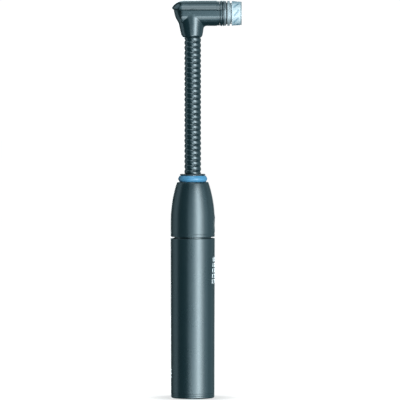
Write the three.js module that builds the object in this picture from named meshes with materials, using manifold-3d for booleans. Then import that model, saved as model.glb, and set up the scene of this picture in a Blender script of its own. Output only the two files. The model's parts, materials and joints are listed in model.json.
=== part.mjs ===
// A cordless dental curing light: a battery tube, an ogive upper shell with a push-button, a bendable
// gooseneck and an elbow head with a pull-off light tip.
// Millimetres, +Z up. The origin is the centre of the base's underside, on the handle's axis.
// +X is the way the head points. Every sub-part is one named mesh in the exported group.
import * as THREE from "three";
import { mergeVertices } from "three/addons/utils/BufferGeometryUtils.js";
import Module from "manifold-3d";

const wasm = await Module();
wasm.setup();

// ---------------------------------------------------------------- driving dimensions

const GAP = 0.3; // between pieces that touch on the real object
const THIN_GAP = 0.1; // between flat rings stacked face to face

// Handle: battery tube and base cap
const TUBE_FOOT_R = 12.32;
const TUBE_TOP_R = 12.5;
const TUBE_TOP_Z = 90.3;
const TUBE_BORE_R = 10.3;
const TUBE_MOUTH_R = 11.3; // the counterbore that carries the thread
const TUBE_MOUTH_Z = 79.8;
const CAP_R = 12.3;
const CAP_TOP_Z = 2.5;
const CAP_SPIGOT_R = 9.9;
const CAP_SPIGOT_TOP_Z = 7.2;
const CAP_GROOVE_FOOT_Z = 4.2; // the groove for the cap's seal
const CAP_GROOVE_TOP_Z = 5.8;
const CAP_GROOVE_R = 9;
const CAP_SEAL_R = 9.5;
const CAP_SEAL_WIRE_R = 0.4;

// Battery: a cell of the common 18 mm by 65 mm size in a plastic sleeve
const CELL_R = 9.2;
const CELL_FOOT_Z = 12;
const CELL_LENGTH = 65;
const CELL_TERMINAL_R = 3.4;
const CELL_TERMINAL_HEIGHT = 0.9;
const SLEEVE_WALL = 0.5;
const SLEEVE_TOP_Z = 79.2;
const SPRING_R = 6;
const SPRING_WIRE_R = 0.45;
const SPRING_TURNS = 3;

// Upper shell: a straight foot, then an ogive arc
const SEAM = 0.8; // open groove between tube and shell
const SHELL_FOOT_Z = TUBE_TOP_Z + SEAM;
const SHELL_R = 12.45;
const OGIVE_START_Z = 100;
const OGIVE_RADIUS = 68.8;
const SHELL_TOP_Z = 122;
const SHELL_WALL = 1.5;
const SHELL_ROOF = 3.4;
const SHELL_MOUTH_R = 5.4;
const SHOULDER_ROUND = 0.35;

// Threaded spigot between shell and tube
const SPIGOT_R = 10.9;
const SPIGOT_NECK_R = 10.4;
const SPIGOT_BORE_R = 8.6;
const SPIGOT_FOOT_Z = 80.5;
const SPIGOT_TOP_Z = 96.5;
const SPIGOT_CUT = [6, 10.5, 6]; // the space for the push-button in the spigot's flange
const SPIGOT_CUT_Z = 94.8;
const THREAD_CRESTS = 3;
const THREAD_DEPTH = 0.5;
const SEAL_Z = 88.3;
const SEAL_GROOVE_R = 9.7;
const SEAL_GROOVE_HALF = 1;
const SEAL_R = 10.4;
const SEAL_WIRE_R = 0.55;

// Contacts and driver electronics
const CONTACT_BOARD_FOOT_Z = 81.5;
const CONTACT_BOARD_TOP_Z = 83.1;
const CONTACT_PIN_R = 1.6;
const CONTACT_COLLAR_R = 2.8;
const CONTACT_COLLAR_HEIGHT = 1;
const CONTACT_TOP_Z = 83.6;
const BOARD_X = 3.7;
const BOARD_HALF = 0.7;
const BOARD_WIDTH = 13;
const BOARD_HEIGHT = 25;
const BOARD_Z = 96.5;
const CHIP_SIZE = [1.2, 5, 5];
const CHIP_Z = 101;
const COIL_SIZE = [3.4, 6.4, 6.4];
const COIL_Z = 90;
const SWITCH_SIZE = [3, 6, 6];
const PLUNGER_SIZE = [1, 2.6, 2.6];

// Push-button on the front of the shell
const BUTTON_Z = 98.6;
const BUTTON_LENGTH = 10.6;
const BUTTON_WIDTH = 7.4;
const BUTTON_PROUD = 0.12;
const BUTTON_FLANGE_X = 9.3;
const BUTTON_FLANGE = 0.6; // how far the flange stands out round the button
const BUTTON_FLANGE_THICKNESS = 0.5;
const BUTTON_BOSS_X = 8.7;
const BUTTON_BOSS = [2.4, 3]; // width and length

// Collar stack at the foot of the neck
const RING_FOOT_Z = SHELL_TOP_Z + THIN_GAP;
const RING_TOP_Z = 125.7;
const RING_BULGE_R = 8.25;
const NUT_TOP_Z = 126.5;
const NUT_R = 7.1;
const FERRULE_R = 5.1;
const FERRULE_BORE_R = 4.2;
const FERRULE_FLANGE_R = 7.2;
const FERRULE_FLANGE_THICKNESS = 1.8;
const FERRULE_RECESS = 0.2; // below the nut's top

// Gooseneck: equal links, each standing for two turns of the wound neck
const NECK_R = 4.7;
const NECK_BORE_R = 1.9;
const NECK_FOOT_Z = NUT_TOP_Z;
const NECK_TOP_Z = 203.3;
const NECK_LINKS = 13; // the first is fixed in the handle, the last in the head
const LINK_PITCH = (NECK_TOP_Z - NECK_FOOT_Z) / NECK_LINKS;
const LINK_GAP = 0.8;
const LINK_FACE_R = 2.5; // flat end face; outside it the end is a cone that leaves room to bend
const LINK_CONE = 0.35;
const LINK_RIB_DEPTH = 0.4;
const LINK_RIB_HALF = 0.25;
const STUB_R = 3.9; // turned-down ends held in the ferrule and in the stem
const STUB_FOOT_Z = 117;
const STUB_TOP_Z = 208.5;
const CABLE_R = 1.3;
const CABLE_FOOT_Z = 112;
const CABLE_TOP_Z = 209;

// Head: a stem, a horizontal barrel with a round back, and the ring stack in front
const BARREL_Z = 217.1;
const BARREL_R = 7.13;
const BARREL_BACK_X = -5.35; // centre of the round back
const BARREL_FRONT_X = 15.2;
const BARREL_BORE_R = 5.6;
const BARREL_BORE_BACK_X = -3;
const BARREL_GROOVE_X = 13.6;
const BARREL_GROOVE_R = 6.85;
const HOOD_EDGE_Z = 219.2; // the back overhangs the stem below this height
const HOOD_FRONT_X = -6.4;
const COLLAR_FRONT_X = 17.8;
const STACK_BORE_R = 4.6; // of the bevel ring and the gasket
const BEVEL_BACK_R = 7.08;
const BEVEL_FRONT_R = 6.75;
const BEVEL_THICKNESS = 1.15;
const GASKET_R = 6.1;
const SOCKET_BACK_X = 19.45;
const SOCKET_FRONT_X = 20.9;
const SOCKET_R = 7.05;
const THROAT_R = 6;
const TIP_SPIGOT_R = 4.9;
const TIP_SPIGOT_FRONT_X = 25.4;
const TIP_BACK_X = 21.95;
const TIP_FRONT_X = 27.6;
const TIP_BACK_R = 7;
const TIP_FRONT_R = 6.62;
const TIP_BORE_R = 5.2;
const TIP_FLOOR_X = 26;
const TIP_WINDOW_R = 5.4;
const RIM_BACK_X = 27;
const RIM_BORE_R = 5.7;
const ROD_R = 4;
const ROD_BACK_X = 17.5;
const ROD_FRONT_X = 25.6;

// Light engine inside the head
const HEAD_PART_R = BARREL_BORE_R - GAP; // heat sink, board and reflector
const SINK_BACK_X = 4;
const SINK_FRONT_X = 10.3;
const SINK_CORE_R = 3.6;
const SINK_FINS = 3;
const LED_BOARD_BACK_X = 10.6;
const LED_BOARD_FRONT_X = 11.7;
const LED_BOARD_HOLE_R = 0.8;
const EMITTER_BACK_X = 11.9;
const REFLECTOR_FRONT_X = 17.2;
const LEAD_R = 0.9;
const LEAD_PATH = [
  [0, 209.4],
  [0, 212],
  [0.8, 215.4],
  [3.2, BARREL_Z],
]; // x and z

const FINE = 32; // facets round the outer casings
const MEDIUM = 20;
const LINK_FACETS = 16;
const COARSE = 12;
const WIRE_SIDES = 3; // steps in half a wire's section

// ---------------------------------------------------------------- materials

function finish(color, roughness, metalness, opacity = 1) {
  return new THREE.MeshStandardMaterial({ color, roughness, metalness, opacity, transparent: opacity < 1 });
}

const ANODISED = finish(0x3c5057, 0.35, 0.8);
const NECK_STEEL = finish(0x2b3a40, 0.32, 0.85);
const BRIGHT = finish(0xd5dce4, 0.15, 1);
const BARE_ALUMINIUM = finish(0xa9adb0, 0.4, 1);
const BLUE = finish(0x4a8fbe, 0.45, 0);
const CLEAR_BLUE = finish(0xa3ccde, 0.1, 0, 0.5);
const CLEAR = finish(0xeef4f8, 0.05, 0, 0.35);
const RUBBER = finish(0x1a1c1e, 0.8, 0);
const BUTTON_GREY = finish(0x6c7679, 0.7, 0);
const BRASS = finish(0xc8a34a, 0.3, 1);
const SPRING_STEEL = finish(0x9aa0a4, 0.3, 1);
const CELL_WRAP = finish(0x2f6d4f, 0.4, 0);
const SLEEVE_PLASTIC = finish(0xd8d4c8, 0.6, 0);
const BOARD_GREEN = finish(0x1f5a3a, 0.5, 0);
const CHIP_BLACK = finish(0x18191b, 0.5, 0);
const EMITTER_YELLOW = finish(0xe8d47a, 0.3, 0);
const CABLE_GREY = finish(0x55585a, 0.6, 0);

// ---------------------------------------------------------------- solids

// A closed geometry as a manifold solid, facing out: shared vertices are merged and collapsed faces dropped.
function solid(geometry) {
  const bare = geometry.clone();
  bare.deleteAttribute("normal");
  bare.deleteAttribute("uv");
  const merged = mergeVertices(bare, 1e-4);
  const index = merged.index.array;
  const triangles = [];
  for (let i = 0; i < index.length; i += 3) {
    const [a, b, c] = [index[i], index[i + 1], index[i + 2]];
    if (a !== b && b !== c && a !== c) triangles.push(a, b, c);
  }
  const build = (triVerts) =>
    new wasm.Manifold(
      new wasm.Mesh({ numProp: 3, vertProperties: merged.attributes.position.array, triVerts }),
    );
  const made = build(new Uint32Array(triangles));
  if (made.volume() > 0) return made;
  return build(new Uint32Array(triangles.reverse()));
}

// A manifold solid as a three.js geometry.
function geometryOf(made) {
  const { numVert, numProp, vertProperties, triVerts } = made.getMesh();
  const position = new Float32Array(numVert * 3);
  for (let i = 0; i < numVert; i++) {
    position.set(vertProperties.subarray(i * numProp, i * numProp + 3), i * 3);
  }
  const geometry = new THREE.BufferGeometry();
  geometry.setAttribute("position", new THREE.BufferAttribute(position, 3));
  geometry.setIndex(new THREE.BufferAttribute(triVerts, 1));
  geometry.computeVertexNormals();
  return geometry;
}

// A turned solid. The outline is a list of [radius, height]; one that doesn't start and end on the axis
// closes on itself and makes a ring. axis is "z", or "x" for the head's barrel, whose axis is at BARREL_Z.
function turned(outline, { axis = "z", facets = MEDIUM } = {}) {
  const onAxis = outline[0][0] === 0 && outline.at(-1)[0] === 0;
  const closed = onAxis ? outline : [...outline, outline[0]];
  const lathe = new THREE.LatheGeometry(
    closed.map(([r, h]) => new THREE.Vector2(r, h)),
    facets,
  );
  if (axis === "z") lathe.rotateX(Math.PI / 2);
  else lathe.rotateZ(-Math.PI / 2).translate(0, 0, BARREL_Z);
  return solid(lathe);
}

// A plain ring or disc between two heights.
function ring(outer, inner, low, high, options) {
  const outline = [
    [inner, low],
    [outer, low],
    [outer, high],
    [inner, high],
  ];
  return turned(outline, options);
}

function block(size, centre) {
  return solid(new THREE.BoxGeometry(...size).translate(...centre));
}

// A slot-shaped prism with round ends, long along Z, that runs along X from one end to the other.
function slotPrism(width, length, fromX, toX) {
  const r = width / 2;
  const straight = length / 2 - r;
  const shape = new THREE.Shape();
  shape.absarc(0, straight, r, 0, Math.PI);
  shape.absarc(0, -straight, r, Math.PI, 2 * Math.PI);
  const prism = new THREE.ExtrudeGeometry(shape, {
    depth: toX - fromX,
    bevelEnabled: false,
    curveSegments: 8,
  });
  const turn = new THREE.Matrix4().makeBasis(
    new THREE.Vector3(0, 1, 0),
    new THREE.Vector3(0, 0, 1),
    new THREE.Vector3(1, 0, 0),
  );
  return solid(prism.applyMatrix4(turn).translate(fromX, 0, BUTTON_Z));
}

// A round wire carried along a curve.
function wire(curve, radius, steps, sides) {
  const section = new THREE.Shape();
  section.absarc(0, 0, radius, 0, 2 * Math.PI);
  return solid(
    new THREE.ExtrudeGeometry(section, {
      steps,
      curveSegments: sides,
      extrudePath: curve,
      bevelEnabled: false,
    }),
  );
}

class Helix extends THREE.Curve {
  constructor(radius, foot, height, turns) {
    super();
    Object.assign(this, { radius, foot, height, turns });
  }
  getPoint(t, target = new THREE.Vector3()) {
    const a = 2 * Math.PI * this.turns * t;
    return target.set(
      this.radius * Math.cos(a),
      this.radius * Math.sin(a),
      this.foot + this.height * t,
    );
  }
}

// ---------------------------------------------------------------- the group

const light = new THREE.Group();
light.name = "curing_light";

function add(name, made, material) {
  const mesh = new THREE.Mesh(geometryOf(made), material);
  mesh.name = name;
  light.add(mesh);
}

// ---------------------------------------------------------------- handle

// Base cap: a foot disc with a spigot that closes the tube, and a groove for its seal.
function baseCap() {
  const chamfer = 0.45;
  return turned(
    [
      [0, 0],
      [CAP_R - chamfer, 0],
      [CAP_R, chamfer],
      [CAP_R, CAP_TOP_Z],
      [CAP_SPIGOT_R, CAP_TOP_Z],
      [CAP_SPIGOT_R, CAP_GROOVE_FOOT_Z],
      [CAP_GROOVE_R, CAP_GROOVE_FOOT_Z],
      [CAP_GROOVE_R, CAP_GROOVE_TOP_Z],
      [CAP_SPIGOT_R, CAP_GROOVE_TOP_Z],
      [CAP_SPIGOT_R, CAP_SPIGOT_TOP_Z],
      [0, CAP_SPIGOT_TOP_Z],
    ],
    { facets: FINE },
  );
}

// Battery tube: very slightly wider at the top, with a counterbore for the threaded spigot.
function batteryTube() {
  const foot = CAP_TOP_Z + GAP;
  const footLip = 0.15;
  const lip = 0.4;
  return turned(
    [
      [TUBE_BORE_R, foot],
      [TUBE_FOOT_R - footLip, foot],
      [TUBE_FOOT_R, foot + footLip],
      [TUBE_TOP_R, TUBE_TOP_Z - lip],
      [TUBE_TOP_R - lip, TUBE_TOP_Z],
      [TUBE_MOUTH_R, TUBE_TOP_Z],
      [TUBE_MOUTH_R, TUBE_MOUTH_Z],
      [TUBE_BORE_R, TUBE_MOUTH_Z],
    ],
    { facets: FINE },
  );
}

// A rubber ring of round section, lying flat.
function sealRing(ringR, wireR, z) {
  const sides = 6;
  const outline = Array.from({ length: sides }, (_, i) => {
    const a = (2 * Math.PI * i) / sides;
    return [ringR + wireR * Math.cos(a), z + wireR * Math.sin(a)];
  });
  return turned(outline, { facets: MEDIUM });
}

function batteryCell() {
  const top = CELL_FOOT_Z + CELL_LENGTH;
  const round = 0.8;
  return turned(
    [
      [0, CELL_FOOT_Z],
      [CELL_R - round, CELL_FOOT_Z],
      [CELL_R, CELL_FOOT_Z + round],
      [CELL_R, top - round],
      [CELL_R - round, top],
      [CELL_TERMINAL_R, top],
      [CELL_TERMINAL_R, top + CELL_TERMINAL_HEIGHT],
      [0, top + CELL_TERMINAL_HEIGHT],
    ],
    { facets: MEDIUM },
  );
}

function batterySpring() {
  const foot = CAP_SPIGOT_TOP_Z + THIN_GAP + SPRING_WIRE_R;
  const height = CELL_FOOT_Z - THIN_GAP - SPRING_WIRE_R - foot;
  const steps = 10 * SPRING_TURNS;
  return wire(new Helix(SPRING_R, foot, height, SPRING_TURNS), SPRING_WIRE_R, steps, WIRE_SIDES);
}

const capSealZ = (CAP_GROOVE_FOOT_Z + CAP_GROOVE_TOP_Z) / 2;
const sleeveBoreR = CELL_R + GAP;

add("base_cap", baseCap(), ANODISED);
add("base_seal", sealRing(CAP_SEAL_R, CAP_SEAL_WIRE_R, capSealZ), RUBBER);
add("battery_tube", batteryTube(), ANODISED);
add("battery_spring", batterySpring(), SPRING_STEEL);
add("battery_cell", batteryCell(), CELL_WRAP);
add(
  "insulating_sleeve",
  ring(sleeveBoreR + SLEEVE_WALL, sleeveBoreR, CAP_SPIGOT_TOP_Z + GAP, SLEEVE_TOP_Z),
  SLEEVE_PLASTIC,
);

// ---------------------------------------------------------------- seam: spigot, seal and contacts

// Threaded spigot: thread crests below, the seal's groove, a waist at the open seam, and a flange inside
// the shell that is cut away in front for the button.
function threadSpigot() {
  const threadTop = SEAL_Z - SEAL_GROOVE_HALF;
  const grooveTop = SEAL_Z + SEAL_GROOVE_HALF;
  const pitch = (threadTop - SPIGOT_FOOT_Z) / THREAD_CRESTS;
  const thread = [];
  for (let i = 0; i < THREAD_CRESTS; i++) {
    const z = SPIGOT_FOOT_Z + i * pitch;
    thread.push(
      [SPIGOT_R - THREAD_DEPTH, z],
      [SPIGOT_R, z + 0.3 * pitch],
      [SPIGOT_R, z + 0.6 * pitch],
      [SPIGOT_R - THREAD_DEPTH, z + 0.9 * pitch],
    );
  }
  const flangeR = SHELL_R - SHELL_WALL - GAP;
  const flangeFoot = SHELL_FOOT_Z + GAP;
  const cutX = SPIGOT_BORE_R + 2;
  const body = turned(
    [
      [SPIGOT_BORE_R, SPIGOT_FOOT_Z],
      ...thread,
      [SPIGOT_R, threadTop],
      [SEAL_GROOVE_R, threadTop],
      [SEAL_GROOVE_R, grooveTop],
      [SPIGOT_NECK_R, grooveTop],
      [SPIGOT_NECK_R, flangeFoot],
      [flangeR, flangeFoot],
      [flangeR, SPIGOT_TOP_Z],
      [SPIGOT_BORE_R, SPIGOT_TOP_Z],
    ],
    { facets: MEDIUM },
  );
  return body.subtract(block(SPIGOT_CUT, [cutX, 0, SPIGOT_CUT_Z]));
}

// Centre contact: a pin from just above the cell, with a collar under the contact board.
function centreContact() {
  const foot = CELL_FOOT_Z + CELL_LENGTH + CELL_TERMINAL_HEIGHT + GAP;
  const collarTop = CONTACT_BOARD_FOOT_Z - GAP;
  const collarFoot = collarTop - CONTACT_COLLAR_HEIGHT;
  return turned(
    [
      [0, foot],
      [CONTACT_PIN_R, foot],
      [CONTACT_PIN_R, collarFoot],
      [CONTACT_COLLAR_R, collarFoot],
      [CONTACT_COLLAR_R, collarTop],
      [CONTACT_PIN_R, collarTop],
      [CONTACT_PIN_R, CONTACT_TOP_Z],
      [0, CONTACT_TOP_Z],
    ],
    { facets: COARSE },
  );
}

const boardDiscR = SPIGOT_BORE_R - GAP;
const boardHoleR = CONTACT_PIN_R + GAP;

add("thread_seal", sealRing(SEAL_R, SEAL_WIRE_R, SEAL_Z), RUBBER);
add("thread_spigot", threadSpigot(), BARE_ALUMINIUM);
add(
  "contact_board",
  ring(boardDiscR, boardHoleR, CONTACT_BOARD_FOOT_Z, CONTACT_BOARD_TOP_Z),
  BOARD_GREEN,
);
add("centre_contact", centreContact(), BRASS);

// ---------------------------------------------------------------- driver electronics

// A component that stands on the board's back (side -1) or front (side 1) at a height.
function onBoard(size, z, side) {
  const x = BOARD_X + side * (BOARD_HALF + THIN_GAP + size[0] / 2);
  return block(size, [x, 0, z]);
}

// Tactile switch: a square body and the plunger that the push-button's boss meets.
function tactSwitch() {
  const face = BOARD_X + BOARD_HALF + THIN_GAP + SWITCH_SIZE[0];
  const sunk = 0.3;
  const plungerX = face - sunk + PLUNGER_SIZE[0] / 2;
  return onBoard(SWITCH_SIZE, BUTTON_Z, 1).add(block(PLUNGER_SIZE, [plungerX, 0, BUTTON_Z]));
}

add("driver_board", block([2 * BOARD_HALF, BOARD_WIDTH, BOARD_HEIGHT], [BOARD_X, 0, BOARD_Z]), BOARD_GREEN);
add("driver_chip", onBoard(CHIP_SIZE, CHIP_Z, -1), CHIP_BLACK);
add("driver_coil", onBoard(COIL_SIZE, COIL_Z, -1), CHIP_BLACK);
add("tact_switch", tactSwitch(), CHIP_BLACK);

// ---------------------------------------------------------------- upper shell and button

// The ogive's outer radius at a height, less the given depth: straight up to OGIVE_START_Z, then an arc
// of OGIVE_RADIUS that is tangent to the straight part.
function ogiveR(z, depth = 0) {
  const rise = Math.max(0, z - OGIVE_START_Z);
  return SHELL_R - depth - (OGIVE_RADIUS - Math.sqrt(OGIVE_RADIUS ** 2 - rise ** 2));
}

// Outline points up the ogive from its start to a top height.
function ogiveOutline(top, depth, steps) {
  return Array.from({ length: steps + 1 }, (_, i) => {
    const z = OGIVE_START_Z + ((top - OGIVE_START_Z) * i) / steps;
    return [ogiveR(z, depth), z];
  });
}

// The shell's outside as a full body, grown outwards by the given amount.
function ogiveBody(grown) {
  const lip = 0.3;
  return [
    [SHELL_R + grown - lip, SHELL_FOOT_Z],
    [SHELL_R + grown, SHELL_FOOT_Z + lip],
    ...ogiveOutline(SHELL_TOP_Z - SHOULDER_ROUND, -grown, 10),
    [ogiveR(SHELL_TOP_Z) - SHOULDER_ROUND, SHELL_TOP_Z],
  ];
}

function upperShell() {
  const roofFoot = SHELL_TOP_Z - SHELL_ROOF;
  const cavity = ogiveOutline(roofFoot, SHELL_WALL, 6).reverse();
  const body = turned(
    [
      ...ogiveBody(0),
      [SHELL_MOUTH_R, SHELL_TOP_Z],
      [SHELL_MOUTH_R, roofFoot],
      ...cavity,
      [SHELL_R - SHELL_WALL, SHELL_FOOT_Z],
    ],
    { facets: FINE },
  );
  const [inner, outer] = [SHELL_R - 5, SHELL_R + 2];
  return body.subtract(slotPrism(BUTTON_WIDTH + 2 * GAP, BUTTON_LENGTH + 2 * GAP, inner, outer));
}

// Push-button: a cap that follows the shell's curve, a flange behind the wall and a boss for the switch.
function powerButton() {
  const outside = turned([[0, SHELL_FOOT_Z], ...ogiveBody(BUTTON_PROUD), [0, SHELL_TOP_Z]], {
    facets: 2 * FINE,
  });
  const outer = SHELL_R + 2;
  const flangeFront = BUTTON_FLANGE_X + BUTTON_FLANGE_THICKNESS;
  const flangeWidth = BUTTON_WIDTH + 2 * BUTTON_FLANGE;
  const flangeLength = BUTTON_LENGTH + 2 * BUTTON_FLANGE;
  const cap = slotPrism(BUTTON_WIDTH, BUTTON_LENGTH, BUTTON_FLANGE_X, outer).intersect(outside);
  const flange = slotPrism(flangeWidth, flangeLength, BUTTON_FLANGE_X, flangeFront);
  const boss = slotPrism(...BUTTON_BOSS, BUTTON_BOSS_X, flangeFront);
  return cap.add(flange).add(boss);
}

add("upper_shell", upperShell(), ANODISED);
add("power_button", powerButton(), BUTTON_GREY);

// ---------------------------------------------------------------- collar stack

// Blue ring: a soft barrel section, widest a little below its middle.
function accentRing() {
  return turned(
    [
      [SHELL_MOUTH_R, RING_FOOT_Z],
      [7.7, RING_FOOT_Z],
      [8.1, RING_FOOT_Z + 0.7],
      [RING_BULGE_R, RING_FOOT_Z + 1.5],
      [8.1, RING_FOOT_Z + 2.3],
      [7.8, RING_FOOT_Z + 3],
      [7.35, RING_TOP_Z - THIN_GAP],
      [SHELL_MOUTH_R, RING_TOP_Z - THIN_GAP],
    ],
    { facets: FINE },
  );
}

// Ferrule: a flange under the shell's roof and a tube that holds the neck's foot.
function neckFerrule() {
  const flangeTop = SHELL_TOP_Z - SHELL_ROOF - GAP;
  const flangeFoot = flangeTop - FERRULE_FLANGE_THICKNESS;
  const top = NUT_TOP_Z - FERRULE_RECESS;
  return turned(
    [
      [FERRULE_BORE_R, flangeFoot],
      [FERRULE_FLANGE_R, flangeFoot],
      [FERRULE_FLANGE_R, flangeTop],
      [FERRULE_R, flangeTop],
      [FERRULE_R, top],
      [FERRULE_BORE_R, top],
    ],
    { facets: MEDIUM },
  );
}

add("accent_ring", accentRing(), BLUE);
add("neck_nut", ring(NUT_R, FERRULE_R + GAP, RING_TOP_Z + THIN_GAP, NUT_TOP_Z), ANODISED);
add("neck_ferrule", neckFerrule(), BARE_ALUMINIUM);

// ---------------------------------------------------------------- gooseneck

// One end of a link as outline points, from the bore out to the rim. side is -1 for the foot, 1 for the top.
function linkEnd(z, side) {
  const points = [
    [NECK_BORE_R, z],
    [LINK_FACE_R, z],
    [NECK_R, z - side * LINK_CONE],
  ];
  return side < 0 ? points : points.reverse();
}

// The groove between the two turns that a link stands for.
function linkGroove(z) {
  return [
    [NECK_R, z - LINK_RIB_HALF],
    [NECK_R - LINK_RIB_DEPTH, z],
    [NECK_R, z + LINK_RIB_HALF],
  ];
}

function pivotZ(k) {
  return NECK_FOOT_Z + k * LINK_PITCH;
}

function neckLink(k) {
  const foot = pivotZ(k) + LINK_GAP / 2;
  const top = pivotZ(k + 1) - LINK_GAP / 2;
  return turned([...linkEnd(foot, -1), ...linkGroove((foot + top) / 2), ...linkEnd(top, 1)], {
    facets: LINK_FACETS,
  });
}

// The lowest link, with the stub that the ferrule holds.
function neckFoot() {
  const top = pivotZ(1) - LINK_GAP / 2;
  const rim = NECK_FOOT_Z + GAP;
  return turned(
    [
      [NECK_BORE_R, STUB_FOOT_Z],
      [STUB_R, STUB_FOOT_Z],
      [STUB_R, rim],
      [NECK_R, rim],
      ...linkGroove((rim + top) / 2),
      ...linkEnd(top, 1),
    ],
    { facets: LINK_FACETS },
  );
}

// The highest link, with the stub that the stem holds.
function neckTop() {
  const foot = pivotZ(NECK_LINKS - 1) + LINK_GAP / 2;
  const rim = NECK_TOP_Z - GAP;
  return turned(
    [
      ...linkEnd(foot, -1),
      ...linkGroove((foot + rim) / 2),
      [NECK_R, rim],
      [STUB_R, rim],
      [STUB_R, STUB_TOP_Z],
      [NECK_BORE_R, STUB_TOP_Z],
    ],
    { facets: LINK_FACETS },
  );
}

add("neck_foot", neckFoot(), NECK_STEEL);
for (let k = 1; k < NECK_LINKS - 1; k++) {
  add(`neck_link_${String(k).padStart(2, "0")}`, neckLink(k), NECK_STEEL);
}
add("neck_top", neckTop(), NECK_STEEL);
add(
  "neck_cable",
  turned(
    [
      [0, CABLE_FOOT_Z],
      [CABLE_R, CABLE_FOOT_Z],
      [CABLE_R, CABLE_TOP_Z],
      [0, CABLE_TOP_Z],
    ],
    { facets: COARSE },
  ),
  CABLE_GREY,
);

// ---------------------------------------------------------------- head

// Stem: rings [height, back x, front x, half width]; it leans back as it rises and ends inside the barrel.
const STEM_RINGS = [
  [NECK_TOP_Z, -4.9, 4.4, 4.75],
  [203.9, -5.8, 5.3, 5.5],
  [205, -6.5, 5.7, 6.05],
  [207.8, -7.1, 6, 6.5],
  [210, -7.6, 6.4, 6.95],
  [211.4, -7.85, 6.6, 7.02],
  [213.4, -9.1, 6.6, 7.04],
  [215.2, -9.9, 6.6, 7.04],
  [217, -10.3, 6.6, 7],
  [218.8, -10.3, 6.6, 6.6],
  [220.2, -9.8, 6.4, 5.9],
];

// A turned drum whose rings are then moved and stretched along X, and narrowed along Y, to the stem's rings.
function stem() {
  const facets = MEDIUM;
  const drum = new THREE.LatheGeometry(
    [[0, 0], ...STEM_RINGS.map((_, i) => [1, i]), [0, STEM_RINGS.length - 1]].map(
      ([r, h]) => new THREE.Vector2(r, h),
    ),
    facets,
  ).rotateX(Math.PI / 2);
  const place = drum.attributes.position;
  for (let i = 0; i < place.count; i++) {
    const [z, back, front, halfWidth] = STEM_RINGS[Math.round(place.getZ(i))];
    const reach = place.getX(i) < 0 ? -back : front;
    place.setXYZ(i, place.getX(i) * reach, place.getY(i) * halfWidth, z);
  }
  return solid(drum);
}

// Barrel: a cylinder with a ball back, cut away at the back below the hood's edge, with a groove in front.
function barrel() {
  const ball = Array.from({ length: 7 }, (_, i) => {
    const a = (Math.PI / 2) * (i / 7);
    return [BARREL_R * Math.sin(a), BARREL_BACK_X - BARREL_R * Math.cos(a)];
  });
  const body = turned(
    [
      ...ball,
      [BARREL_R, BARREL_BACK_X],
      [BARREL_R, BARREL_GROOVE_X],
      [BARREL_GROOVE_R, BARREL_GROOVE_X + 0.2],
      [BARREL_GROOVE_R, BARREL_FRONT_X],
      [0, BARREL_FRONT_X],
    ],
    { axis: "x", facets: FINE },
  );
  const cut = 12;
  const cutCentre = [HOOD_FRONT_X - cut / 2, 0, HOOD_EDGE_Z - cut / 2];
  return body.subtract(block([cut, 2 * cut, cut], cutCentre));
}

function elbowHousing() {
  const barrelBore = turned(
    [
      [0, BARREL_BORE_BACK_X],
      [BARREL_BORE_R, BARREL_BORE_BACK_X],
      [BARREL_BORE_R, BARREL_FRONT_X + 1],
      [0, BARREL_FRONT_X + 1],
    ],
    { axis: "x", facets: MEDIUM },
  );
  const stemBore = turned(
    [
      [0, NECK_TOP_Z - 1],
      [FERRULE_BORE_R, NECK_TOP_Z - 1],
      [FERRULE_BORE_R, BARREL_Z],
      [0, BARREL_Z],
    ],
    { facets: COARSE },
  );
  return barrel().add(stem()).subtract(barrelBore).subtract(stemBore);
}

const onBarrel = { axis: "x", facets: MEDIUM };
const onBarrelFine = { axis: "x", facets: FINE };

// Heat sink: a slug with cooling grooves.
function heatSink() {
  const pitch = (SINK_FRONT_X - SINK_BACK_X) / (2 * SINK_FINS - 1);
  const outline = [[0, SINK_BACK_X]];
  for (let i = 0; i < SINK_FINS; i++) {
    const x = SINK_BACK_X + 2 * i * pitch;
    outline.push([HEAD_PART_R, x], [HEAD_PART_R, x + pitch]);
    if (i < SINK_FINS - 1) outline.push([SINK_CORE_R, x + pitch], [SINK_CORE_R, x + 2 * pitch]);
  }
  return turned([...outline, [0, SINK_FRONT_X]], onBarrel);
}

// The lead from the neck's cable to the back of the heat sink.
function ledLead() {
  const path = new THREE.CatmullRomCurve3(LEAD_PATH.map(([x, z]) => new THREE.Vector3(x, 0, z)));
  return wire(path, LEAD_R, 8, WIRE_SIDES);
}

// Emitter: a flat package with a small dome.
function ledEmitter() {
  const body = { r: 2.3, front: EMITTER_BACK_X + 0.6 };
  const dome = { r: 1.6, height: 1.1 };
  const outline = [
    [0, EMITTER_BACK_X],
    [body.r, EMITTER_BACK_X],
    [body.r, body.front],
  ];
  const steps = 3;
  for (let i = 0; i <= steps; i++) {
    const a = ((Math.PI / 2) * i) / steps;
    const r = i < steps ? dome.r * Math.cos(a) : 0;
    outline.push([r, body.front + dome.height * Math.sin(a)]);
  }
  return turned(outline, { axis: "x", facets: COARSE });
}

// Reflector: a cup that opens towards the front.
function reflector() {
  const throat = 2.7;
  const waist = [4.1, 14.6];
  const mouth = 4.8;
  return turned(
    [
      [throat, EMITTER_BACK_X],
      [HEAD_PART_R, EMITTER_BACK_X],
      [HEAD_PART_R, REFLECTOR_FRONT_X],
      [mouth, REFLECTOR_FRONT_X],
      waist,
    ],
    onBarrel,
  );
}

// Light rod: carries the light from the reflector to the tip.
function lightRod() {
  const round = 0.3;
  return turned(
    [
      [0, ROD_BACK_X],
      [ROD_R, ROD_BACK_X],
      [ROD_R, ROD_FRONT_X - round],
      [ROD_R - round, ROD_FRONT_X],
      [0, ROD_FRONT_X],
    ],
    onBarrel,
  );
}

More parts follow.
